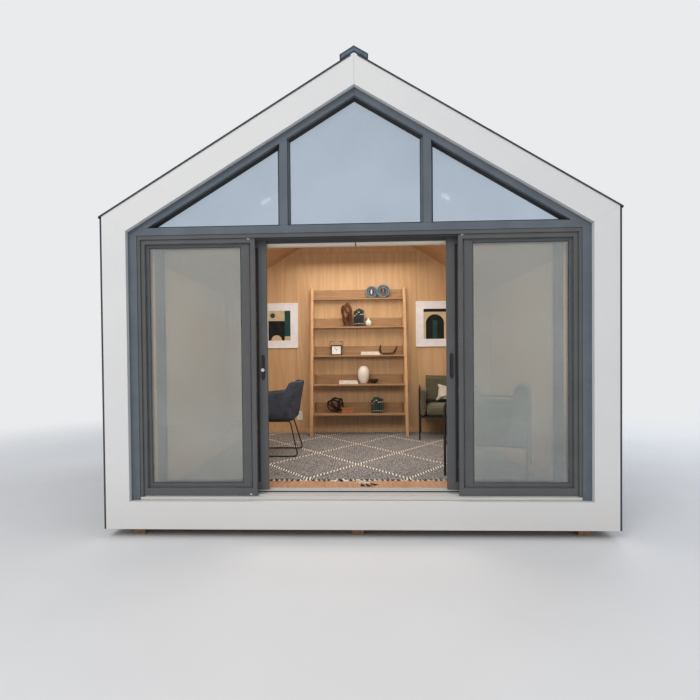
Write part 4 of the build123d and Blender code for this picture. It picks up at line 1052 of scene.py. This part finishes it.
bm = bmesh.new()
x, y, z = -0.290, 1.340, SHELF_TOPS[0]
knot(bm, (((x, y, z + 0.104), (0.104, 0.090), 0.25, 0.3, 0.008),
          ((x + 0.020, y, z + 0.102), (0.098, 0.088), -0.7, 0.9, 0.008),
          ((x - 0.018, y, z + 0.110), (0.086, 0.092), 0.9, -0.5, 0.008),
          ((x + 0.008, y, z + 0.134), (0.106, 0.064), 0.1, -1.0, 0.008),
          ((x + 0.050, y, z + 0.100), (0.062, 0.090), 0.3, 1.9, 0.008)), radius=0.0085)
settle(made("wire_knot", bm, black_satin), "black_steel", smooth=True)
bm = bmesh.new()
block(bm, (-0.205, 1.225, z), (-0.045, 1.330, z + 0.052), turn=0.04)
block(bm, (-0.209, 1.221, z + 0.053), (-0.041, 1.334, z + 0.070), turn=0.04)
settle(made("terracotta_box", bm, speckled("unglazed terracotta", "#a86f4b", "#8a563a", 0.8)), "case_oak",
       edge=0.003, segments=3)


# Wall socket
# A white moulded double socket on a screwed cover plate, low on the back wall beside the bookcase.
wall_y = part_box("back_lining")[0].y
x0, x1, z0, z1 = -0.824, -0.750, 0.515, 0.635
centre_x, centre_z = (x0 + x1) / 2, (z0 + z1) / 2
bm, slots = bmesh.new(), bmesh.new()
block(bm, (x0, wall_y - 0.006, z0), (x1, wall_y, z1))
for z in (centre_z - 0.020, centre_z + 0.020):
    block(bm, (x0 + 0.021, wall_y - 0.0085, z - 0.014), (x1 - 0.021, wall_y - 0.005, z + 0.014))
    # three slots: place across, half width, foot and top
    for across, half, foot, top in ((-0.0065, 0.0012, -0.0015, 0.0075), (0.0065, 0.0012, -0.0005, 0.0065),
                                    (0.0, 0.0025, -0.011, -0.006)):
        block(slots, (centre_x + across - half, wall_y - 0.0088, z + foot),
              (centre_x + across + half, wall_y - 0.0080, z + top))
settle(made("socket_plate", bm, speckled("white moulded plastic", "#e9e8e5", "#dcdbd7", 0.35, coat=0.1)),
       "blind_fabric", edge=0.0015)
settle(made("socket_slots", slots, black_satin), "black_steel")


# Pictures
# Two prints in white lacquered frames with a wide mat, hung on the back wall. Each print is a plain
# composition of cut-paper shapes in black, dark green and sand.
MAT_T, MAT_WIDTH, FRAME_FACE, FRAME_WIDTH, PRINT_BACK, PAPER_T = 0.003, 0.087, 0.016, 0.508, 0.008, 0.0006
dress("wall_pictures", speckled("white lacquered wood", "#eceded", "#dfe0e0", 0.35, coat=0.2), edge=0.001)
mat_card = speckled("soft white mat card", "#e8e8ec", "#dadae0", 0.9)
papers = {"sand": speckled("sand coloured paper", "#cdbb9b", "#baa684", 0.9, grain=0.001),
          "black": speckled("black paper", "#15181a", "#24282a", 0.85, grain=0.001),
          "green": speckled("dark green paper", "#1d3a38", "#2b4f4a", 0.85, grain=0.001)}
low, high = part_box("wall_pictures")
face = low.y + PRINT_BACK
wide = FRAME_WIDTH - 2 * (FRAME_FACE + MAT_WIDTH)
tall = high.z - low.z - 2 * (FRAME_FACE + MAT_WIDTH)


def slab(u0, v0, u1, v1):
    """A rectangle on a print, between shares of its width and height."""
    return [(wide * u, tall * v) for u, v in ((u0, v0), (u1, v0), (u1, v1), (u0, v1))]


def arc(u, v, radius, stop, steps=24):
    """Points on a print, round a centre from the right to stop; radius is a share of its width."""
    return [(wide * (u + radius * math.cos(a)), tall * v + wide * radius * math.sin(a))
            for a in (stop * i / steps for i in range(steps + 1))]


# each shape has its paper, its outline and the number of sheets under it
ground = ("sand", slab(0, 0, 1, 1), 0)
prints = {
    "left": (ground, ("black", slab(0, 0, 0.74, 0.66), 1), ("green", slab(0.74, 0.14, 1, 1), 1),
             ("sand", arc(0.37, 0, 0.24, math.pi), 2),
             ("green", arc(0.20, 0.84, 0.11, 2 * math.pi, 30)[:-1], 1)),
    "right": (ground, ("black", arc(0.5, 0.52, 0.40, math.pi) + slab(0.10, 0, 0.90, 0)[:2], 1),
              ("green", slab(0.40, 0, 0.60, 0.62), 2), ("black", slab(0, 0.90, 1, 1), 1))}
for label, edge_x in (("left", low.x), ("right", high.x - FRAME_WIDTH)):
    x0, x1 = edge_x + FRAME_FACE, edge_x + FRAME_WIDTH - FRAME_FACE
    z0, z1 = low.z + FRAME_FACE, high.z - FRAME_FACE
    bm = bmesh.new()
    ring(bm, [(x0, z0), (x1, z0), (x1, z1), (x0, z1)],
         [(0, face), (0, face - MAT_T), (MAT_WIDTH - 0.002, face - MAT_T), (MAT_WIDTH, face)])
    settle(made(label + "_picture_mat", bm, mat_card), "picture_frame")
    sheets = {tone: bmesh.new() for tone in papers}
    for tone, outline, layer in prints[label]:
        front = face - PAPER_T * layer
        prism(sheets[tone], [(x0 + MAT_WIDTH + x, z0 + MAT_WIDTH + z) for x, z in outline],
              front - PAPER_T, front)
    for tone, finish in papers.items():
        settle(made("%s_print_%s" % (label, tone), sheets[tone], finish), "picture_frame")


# Rug
# Flat-woven wool, dark heather grey, with raised white stitches along a lattice of diamonds and a
# fringe knotted into its front and back edges.
DIAMOND_W, DIAMOND_L, DIAMOND_Y, STITCH_STEP = 0.42, 0.585, -0.03, 0.027
BAND_HALF, RIB_STEP, TASSEL_STEP = 0.058, 0.115, 0.044
RUG_COLUMNS, RUG_ROWS, RUG_LIFT, RUG_WAVE = 180, 160, 0.0008, 2.1
rug_wool, tree, place = empty_material("heathered flat-woven wool")
spot = add(tree, "SeparateXYZ", {0: place}).outputs
across = add(tree, "Math MULTIPLY", {0: spot["X"], 1: 1 / DIAMOND_W})
along = add(tree, "Math MULTIPLY_ADD", {0: spot["Y"], 1: 1 / DIAMOND_L, 2: -DIAMOND_Y / DIAMOND_L})
# each stitch lies along the rug; the stitches of a line stand side by side, drawn 27 mm apart where
# the rug has about 22 mm, so that they show from the door
turn = add(tree, "Math MULTIPLY", {0: spot["X"], 1: 2 * math.pi / STITCH_STEP})
stitch = add(tree, "Math GREATER_THAN", {0: add(tree, "Math SINE", {0: turn}), 1: 0.25})
lines, ribs = [], []
for way in ("ADD", "SUBTRACT"):
    slant = add(tree, "Math " + way, {0: across, 1: along})
    # distance to the nearest odd number is the distance to a line of the lattice
    to_line = add(tree, "Math PINGPONG", {0: add(tree, "Math ADD", {0: slant, 1: 1.0}), 1: 1.0})
    lines.append(add(tree, "Math LESS_THAN", {0: to_line, 1: BAND_HALF}))
    rib = add(tree, "Math MULTIPLY", {0: to_line, 1: 2 * math.pi / RIB_STEP})
    ribs.append(add(tree, "Math SINE", {0: rib}))
band = add(tree, "Math MAXIMUM", {0: lines[0], 1: lines[1]})
stitches = add(tree, "Math MULTIPLY", {0: band, 1: stitch})
# the flecks of the yarn run along the rug; they are drawn 11 mm wide, three times their size, so that
# they show from the door
drawn = add(tree, "Mapping", {"Vector": place, "Scale": (90.0, 26.0, 90.0)})
heather = add(tree, "TexNoise", {"Vector": drawn, "Scale": 1.0, "Detail": 3.0, "Roughness": 0.7})
patches = add(tree, "TexNoise", {"Vector": place, "Scale": 3.0, "Detail": 3.0})
fleck = add(tree, "MapRange", {"Value": heather, "From Min": 0.42, "From Max": 0.57})
# pale rows echo the lattice inside each diamond
echo = add(tree, "Math MULTIPLY", {0: ribs[0], 1: ribs[1]})
tone = add(tree, "Math MULTIPLY_ADD", {0: echo, 1: 0.30, 2: fleck})
cool = add(tree, "Mix RGBA", {0: patches, 6: "#95918f", 7: "#8d8e91"})
ground = add(tree, "Mix RGBA", {0: tone, 6: "#2a2725", 7: cool})
darker = add(tree, "Mix RGBA", {0: add(tree, "Math MULTIPLY", {0: band, 1: 0.75}), 6: ground, 7: "#2c2826"})
tint = add(tree, "Mix RGBA", {0: stitches, 6: darker, 7: "#ebe4d9"})
raised = add(tree, "Math MULTIPLY_ADD", {0: stitches, 1: 1.6, 2: heather})
bump = add(tree, "Bump", {"Height": raised, "Strength": 0.7, "Distance": 0.003})
surface(tree, {"Base Color": tint, "Roughness": 0.95, "Normal": bump, "Sheen Weight": 0.2})
low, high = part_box("rug")
size = high - low
bm = bmesh.new()
grid = {}
for layer, z in ((0, low.z), (1, high.z - 0.001)):
    for i in range(RUG_COLUMNS + 1):
        for j in range(RUG_ROWS + 1):
            if layer or i in (0, RUG_COLUMNS) or j in (0, RUG_ROWS):
                x = low.x + size.x * i / RUG_COLUMNS
                y = low.y + size.y * j / RUG_ROWS
                lift = layer * RUG_LIFT * noise.noise(Vector((x * RUG_WAVE, y * RUG_WAVE, 4.0)))
                grid[layer, i, j] = bm.verts.new((x, y, z + lift))
for i in range(RUG_COLUMNS):
    for j in range(RUG_ROWS):
        bm.faces.new([grid[1, a, b] for a, b in ((i, j), (i + 1, j), (i + 1, j + 1), (i, j + 1))])
edge = [(i, 0) for i in range(RUG_COLUMNS)] + [(RUG_COLUMNS, j) for j in range(RUG_ROWS)]
edge += [(i, RUG_ROWS) for i in range(RUG_COLUMNS, 0, -1)] + [(0, j) for j in range(RUG_ROWS, 0, -1)]
for a, b in zip(edge, edge[1:] + edge[:1]):
    bm.faces.new((grid[(0, *a)], grid[(0, *b)], grid[(1, *b)], grid[(1, *a)]))
bm.faces.new([grid[(0, *a)] for a in edge[::-1]])
rug = made("wool_rug", bm, rug_wool)
settle(rug, "rug_wool", stands_for=["rug"])


def tassel(bm, size, at=(0, 0, 0), turn=0.0):
    """A knot at the rug's edge with six threads that lie on the floor behind it, towards -Y."""
    place = Matrix.Translation(at) @ Matrix.Rotation(turn, 4, "Z") @ Matrix.Scale(size, 4)
    bmesh.ops.create_icosphere(bm, subdivisions=2, radius=0.0036,
                               matrix=place @ Matrix.Translation((0, -0.004, 0.0036)))
    for i in range(6):
        side = (i - 2.5) * 0.0016
        points = ((side * 0.3, -0.005, 0.0030), (side, -0.014, 0.0018),
                  (side * 2.4, -0.026 - 0.003 * (i % 3), 0.0013))
        bent_rod(bm, [place @ Vector(p) for p in points], 0.0012 * size, sides=6)


fringe_row, given = group("fringe row", {"Count": "Int", "Start": "Vector", "Step": "Vector", "Turn": "Float",
                                         "Tassel": "Object", "Finish": "Material", "Seed": "Int"})
tree = fringe_row
line = add(tree, "MeshLine", {"Count": given["Count"], "Start Location": given["Start"],
                              "Offset": given["Step"]})
swing = add(tree, "RandomValue FLOAT", {2: -0.35, 3: 0.35, "Seed": given["Seed"]})
twist = add(tree, "CombineXYZ", {"Z": add(tree, "Math ADD", {0: swing, 1: given["Turn"]})})
length = add(tree, "RandomValue FLOAT", {2: 0.75, 3: 1.15, "Seed": given["Seed"]})
model = add(tree, "GeometryNodeObjectInfo", {"Object": given["Tassel"]}).outputs["Geometry"]
row = add(tree, "InstanceOnPoints", {"Points": line, "Instance": model, "Rotation": twist, "Scale": length})
finish_group(tree, add(tree, "RealizeInstances", {"Geometry": row}), given["Finish"])
cream_wool = speckled("cream fringe wool", "#f2ebe0", "#cfc5b8", 0.95, grain=0.010)
black_wool = speckled("black fringe wool", "#26221f", "#3d3733", 0.95, grain=0.010)
bm = bmesh.new()
tassel(bm, size=1.3)
model = made("tassel_model", bm, cream_wool)
# cream and black tassels take turns
for label, y, turn in (("front", low.y, 0.0), ("back", high.y, math.pi)):
    for tone, wool, offset, seed in (("cream", cream_wool, 0.25, 3), ("black", black_wool, 0.75, 4)):
        fringe = grown("%s_%s_fringe" % (label, tone), fringe_row, {
            "Count": int(size.x / TASSEL_STEP), "Start": (low.x + TASSEL_STEP * offset, y, low.z + 0.0004),
            "Step": (TASSEL_STEP, 0, 0), "Turn": turn, "Tassel": model, "Finish": wool, "Seed": seed})
        settle(fringe, "rug_wool", smooth=True)
bpy.data.objects.remove(model)
# three long cords with black tassels lie on the floor at the middle of the front edge
cords, ends = bmesh.new(), bmesh.new()
top, floor_z, knot_z = high.z - 0.003, low.z + 0.004, low.z + 0.0004
for root, tip, turn in ((-0.012, (0.030, -1.390), 0.2), (0.000, (0.068, -1.396), 0.5),
                        (0.010, (0.102, -1.372), 0.9)):
    bend = ((root + tip[0]) / 2 - 0.012, (low.y + tip[1]) / 2)
    bent_rod(cords, [(root, low.y + 0.010, top), (root, low.y - 0.012, floor_z + 0.001), (*bend, floor_z),
                     (*tip, floor_z)], 0.0042, sides=8)
    for side in (-0.011, 0.011):
        bmesh.ops.create_icosphere(cords, subdivisions=2, radius=0.008,
                                   matrix=Matrix.Translation((tip[0] + side, tip[1] + 0.012, low.z + 0.0084)))
    tassel(ends, 2.0, (*tip, knot_z), turn)
for x, turn in ((-0.165, -0.5), (-0.120, 0.4)):
    tassel(cords, 2.4, (x, low.y, knot_z), turn)
    tassel(ends, 2.0, (x + 0.018, low.y, knot_z), -turn)
settle(made("long_cords", cords, cream_wool), "rug_wool", smooth=True)
settle(made("long_tassels", ends, black_wool), "rug_wool", smooth=True)


# Desk chair
# A bucket shell of moulded foam under navy felted wool, on a sled of 14 mm black steel rod.
dress("desk_chair_base", black_satin)


def plain_copy(name, node):
    """A copy of a CAD node's mesh, merged, to start a soft piece from."""
    bm = bmesh.new()
    bm.from_mesh(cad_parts[node].data)
    bmesh.ops.remove_doubles(bm, verts=bm.verts, dist=WELD)
    return meshed(name, bm)


def baked(piece, *modifiers):
    """Adds modifiers, each a kind with its settings, and applies them to the mesh."""
    for kind, settings in modifiers:
        work = piece.modifiers.new(kind.lower(), kind)
        for setting, value in settings.items():
            setattr(work, setting, value)
    mesh = evaluated(piece)
    piece.modifiers.clear()
    piece.data = mesh
    return piece


SUBDIVIDED = ("SUBSURF", {"levels": 1, "render_levels": 1})


def puffed(piece, voxel, pressure, cap, frames=20):
    """Fills a closed form with air under its cloth, and holds each point within cap of where it was."""
    baked(piece, ("REMESH", {"mode": "VOXEL", "voxel_size": voxel}),
          ("SMOOTH", {"factor": 0.5, "iterations": 4}))
    start = [v.co.copy() for v in piece.data.vertices]
    cloth = piece.modifiers.new("cloth", "CLOTH")
    cloth.settings.quality = 5
    cloth.settings.mass = 0.3
    cloth.settings.use_pressure = True
    cloth.settings.uniform_pressure_force = pressure
    cloth.settings.effector_weights.gravity = 0.0
    cloth.settings.bending_stiffness = 0.5
    cloth.collision_settings.use_collision = False
    cloth.point_cache.frame_start, cloth.point_cache.frame_end = 1, frames
    for frame_number in range(1, frames + 1):
        bpy.context.scene.frame_set(frame_number)
    bpy.context.view_layer.update()
    result = piece.evaluated_get(bpy.context.evaluated_depsgraph_get()).to_mesh()
    moves = [v.co - s for v, s in zip(result.vertices, start)]
    drift = sum(moves, Vector()) / len(moves)
    moves = [m - drift for m in moves]
    piece.modifiers.remove(cloth)
    bpy.context.scene.frame_set(1)
    for vertex, s, m in zip(piece.data.vertices, start, moves):
        vertex.co = s + m * min(1.0, cap / max(m.length, 1e-9))
    return piece


def covered(piece, material):
    """Gives a piece one material in place of those it has."""
    piece.data.materials.clear()
    piece.data.materials.append(material)


shell = puffed(plain_copy("felt_shell", "desk_chair_shell"), voxel=0.008, pressure=3.0, cap=0.004)
baked(shell, ("SMOOTH", {"factor": 0.5, "iterations": 6}), SUBDIVIDED)
covered(shell, speckled("navy felted wool", "#30333b", "#484d57", 0.95, grain=0.003, bump_depth=0.0012))
settle(shell, "navy_fabric", stands_for=["desk_chair_shell"], smooth=True)


# Armchairs
# Frames of 22 mm black steel tube with a flat steel deck. Foam cushions in piped olive weave: a seat,
# a leaning back and a thin pad inside each arm. A bouclé pillow leans in the far chair.
CHAIRS = (("far", 1.154, 1.115, -7), ("near", 1.174, -0.867, -110))
PILLOW_AT, PILLOW_LEAN, PILLOW_TURN = (0.021, 0.185, 0.884), math.radians(-22), math.radians(6)
PILLOW_HALF, NAP, NAP_SCALE = (0.18, 0.015, 0.13), 0.002, 150
# the back cushion is stuffed fuller than its form and has sunk on to the seat
EDGE_TUCK, BACK_SPREAD, BACK_SINK, SWELL_ROOM = 0.988, 1.045, 0.010, 0.8
PIPING_STEPS, PIPING_R, PIPING_AT, CORNER = 120, 0.0036, 0.80, 0.22
olive_weave, tree, place = empty_material("olive basket weave")
cross = []
# threads of 2 mm are drawn as 4 mm, so that they show
for scale in ((260.0, 20.0, 260.0), (20.0, 260.0, 260.0), (260.0, 260.0, 20.0)):
    stretch = add(tree, "Mapping", {"Vector": place, "Scale": scale})
    cross.append(add(tree, "TexNoise", {"Vector": stretch, "Scale": 1.0, "Detail": 2.0}))
threads = add(tree, "Math ADD", {0: add(tree, "Math ADD", {0: cross[0], 1: cross[1]}), 1: cross[2]})
share = add(tree, "MapRange", {"Value": threads, "From Min": 1.2, "From Max": 1.8})
tint = add(tree, "Mix RGBA", {0: share, 6: "#3d3c2e", 7: "#63604d"})
bump = add(tree, "Bump", {"Height": threads, "Strength": 0.5, "Distance": 0.001})
surface(tree, {"Base Color": tint, "Roughness": 0.92, "Normal": bump, "Sheen Weight": 0.25})
dress("armchair_frames", black_satin)
dress("armchair_decks", black_satin, edge=0.001)


def loose_parts(piece):
    """Splits a mesh into its separate closed forms."""
    bm = bmesh.new()
    bm.from_mesh(piece.data)
    left = set(bm.verts)
    while left:
        reached, front = set(), [left.pop()]
        while front:
            v = front.pop()
            reached.add(v)
            for o in (e.other_vert(v) for e in v.link_edges):
                if o in left:
                    left.discard(o)
                    front.append(o)
        part = bmesh.new()
        copies = {v: part.verts.new(v.co) for v in sorted(reached, key=lambda v: v.index)}
        for face in bm.faces:
            if face.verts[0] in reached:
                part.faces.new([copies[v] for v in face.verts])
        yield part
    bm.free()


def mean(part):
    """The middle of a part's points."""
    return sum((v.co for v in part.verts), Vector()) / len(part.verts)


def chair_place(chair):
    """From a chair's own frame to its place in the room."""
    return Matrix.Translation((chair[1], chair[2], 0)) @ Matrix.Rotation(math.radians(chair[3]), 4, "Z")


def piping(form, centre, thick, reach):
    """Two welts of piping, one along each seam of a cushion, half sunk in its cloth."""
    verts = form.data.vertices
    cover = BVHTree.FromPolygons([v.co for v in verts], [f.vertices[:] for f in form.data.polygons])
    first = thick.orthogonal().normalized() if abs(thick.x) > 0.9 else Vector((1, 0, 0))
    axes = (first, thick.cross(first).normalized())
    spans = [max(abs((v.co - centre).dot(axis)) for v in verts) for axis in axes]
    bm = bmesh.new()
    for side in (-1, 1):
        loop = []
        for a in turns(PIPING_STEPS):
            u, v = [math.copysign(abs(f) ** CORNER, f) * s for f, s in zip((math.cos(a), math.sin(a)), spans)]
            near = centre + axes[0] * u + axes[1] * v + thick * side * reach * PIPING_AT
            loop.append(cover.find_nearest(near)[0])
        for _ in range(2):
            loop = [(before + point * 2 + after) / 4
                    for before, point, after in zip(loop[-1:] + loop[:-1], loop, loop[1:] + loop[:1])]
        bent_rod(bm, loop, PIPING_R, sides=6, closed=True)
    return bm


cushions = plain_copy("cushion_set", "armchair_cushions")
parts = {}
for part in loose_parts(cushions):
    middle = mean(part)
    label, x, y, turn = min(CHAIRS, key=lambda c: (Vector((c[1], c[2])) - middle.xy).length)
    to_chair = Matrix.Rotation(math.radians(-turn), 4, "Z") @ Matrix.Translation((-x, -y, 0))
    bmesh.ops.transform(part, verts=part.verts, matrix=to_chair)
    spot = mean(part)
    if abs(spot.x) > 0.2:
        kind = "arm_left" if spot.x < 0 else "arm_right"
    else:
        kind = "back" if spot.y > 0.12 else "seat"
    parts[label, kind] = part
bpy.data.objects.remove(cushions)
for kind, voxel, cap in (("seat", 0.010, 0.022), ("back", 0.010, 0.024), ("arm_left", 0.009, 0.010),
                         ("arm_right", 0.009, 0.010)):
    part = parts["far", kind]
    bmesh.ops.recalc_face_normals(part, faces=part.faces)
    part.normal_update()
    # room for the swelling is taken off the thickness, so that the edges keep their place
    centre = mean(part)
    thick = max(part.faces, key=lambda face: face.calc_area()).normal.copy()
    reach = max(abs((v.co - centre).dot(thick)) for v in part.verts)
    spread, sunk = EDGE_TUCK, Vector((0, 0, 0))
    if kind == "back":
        spread = BACK_SPREAD
        sunk = (Vector((0, 0, -1)) + thick * thick.z).normalized() * BACK_SINK
    for v in part.verts:
        through = thick * (v.co - centre).dot(thick)
        v.co = centre + sunk + through * (1 - SWELL_ROOM * cap / reach) + (v.co - centre - through) * spread
    centre += sunk
    form = baked(puffed(meshed(kind, part), voxel, pressure=4.0, cap=cap), SUBDIVIDED)
    welts = piping(form, centre, thick, reach)
    for chair in CHAIRS:
        name = "%s_chair_%s" % (chair[0], kind)
        copy = welts.copy()
        copy.transform(chair_place(chair))
        settle(made(name + "_piping", copy, olive_weave), "olive_fabric", smooth=True)
        cushion = placed(name + "_cushion", form.data.copy())
        cushion.data.transform(chair_place(chair))
        covered(cushion, olive_weave)
        stands = ["armchair_cushions"] if kind == "seat" else []
        settle(cushion, "olive_fabric", stands_for=stands, smooth=True)
    bpy.data.objects.remove(form)

bm = bmesh.new()
block(bm, [-h for h in PILLOW_HALF], PILLOW_HALF)
boucle = speckled("off-white boucle", "#ddd4c9", "#b3a89c", 0.95, grain=0.007, bump_depth=0.003)
pillow = puffed(made("far_chair_pillow", bm, boucle), voxel=0.009, pressure=5.0, cap=0.042)
baked(pillow, SUBDIVIDED)
for v in pillow.data.vertices:
    v.co += v.normal * NAP * noise.noise(v.co * NAP_SCALE)
pillow.data.transform(chair_place(CHAIRS[0]) @ Matrix.Translation(PILLOW_AT)
                      @ Matrix.Rotation(PILLOW_LEAN, 4, "X") @ Matrix.Rotation(PILLOW_TURN, 4, "Y"))
settle(pillow, "blind_fabric", smooth=True)
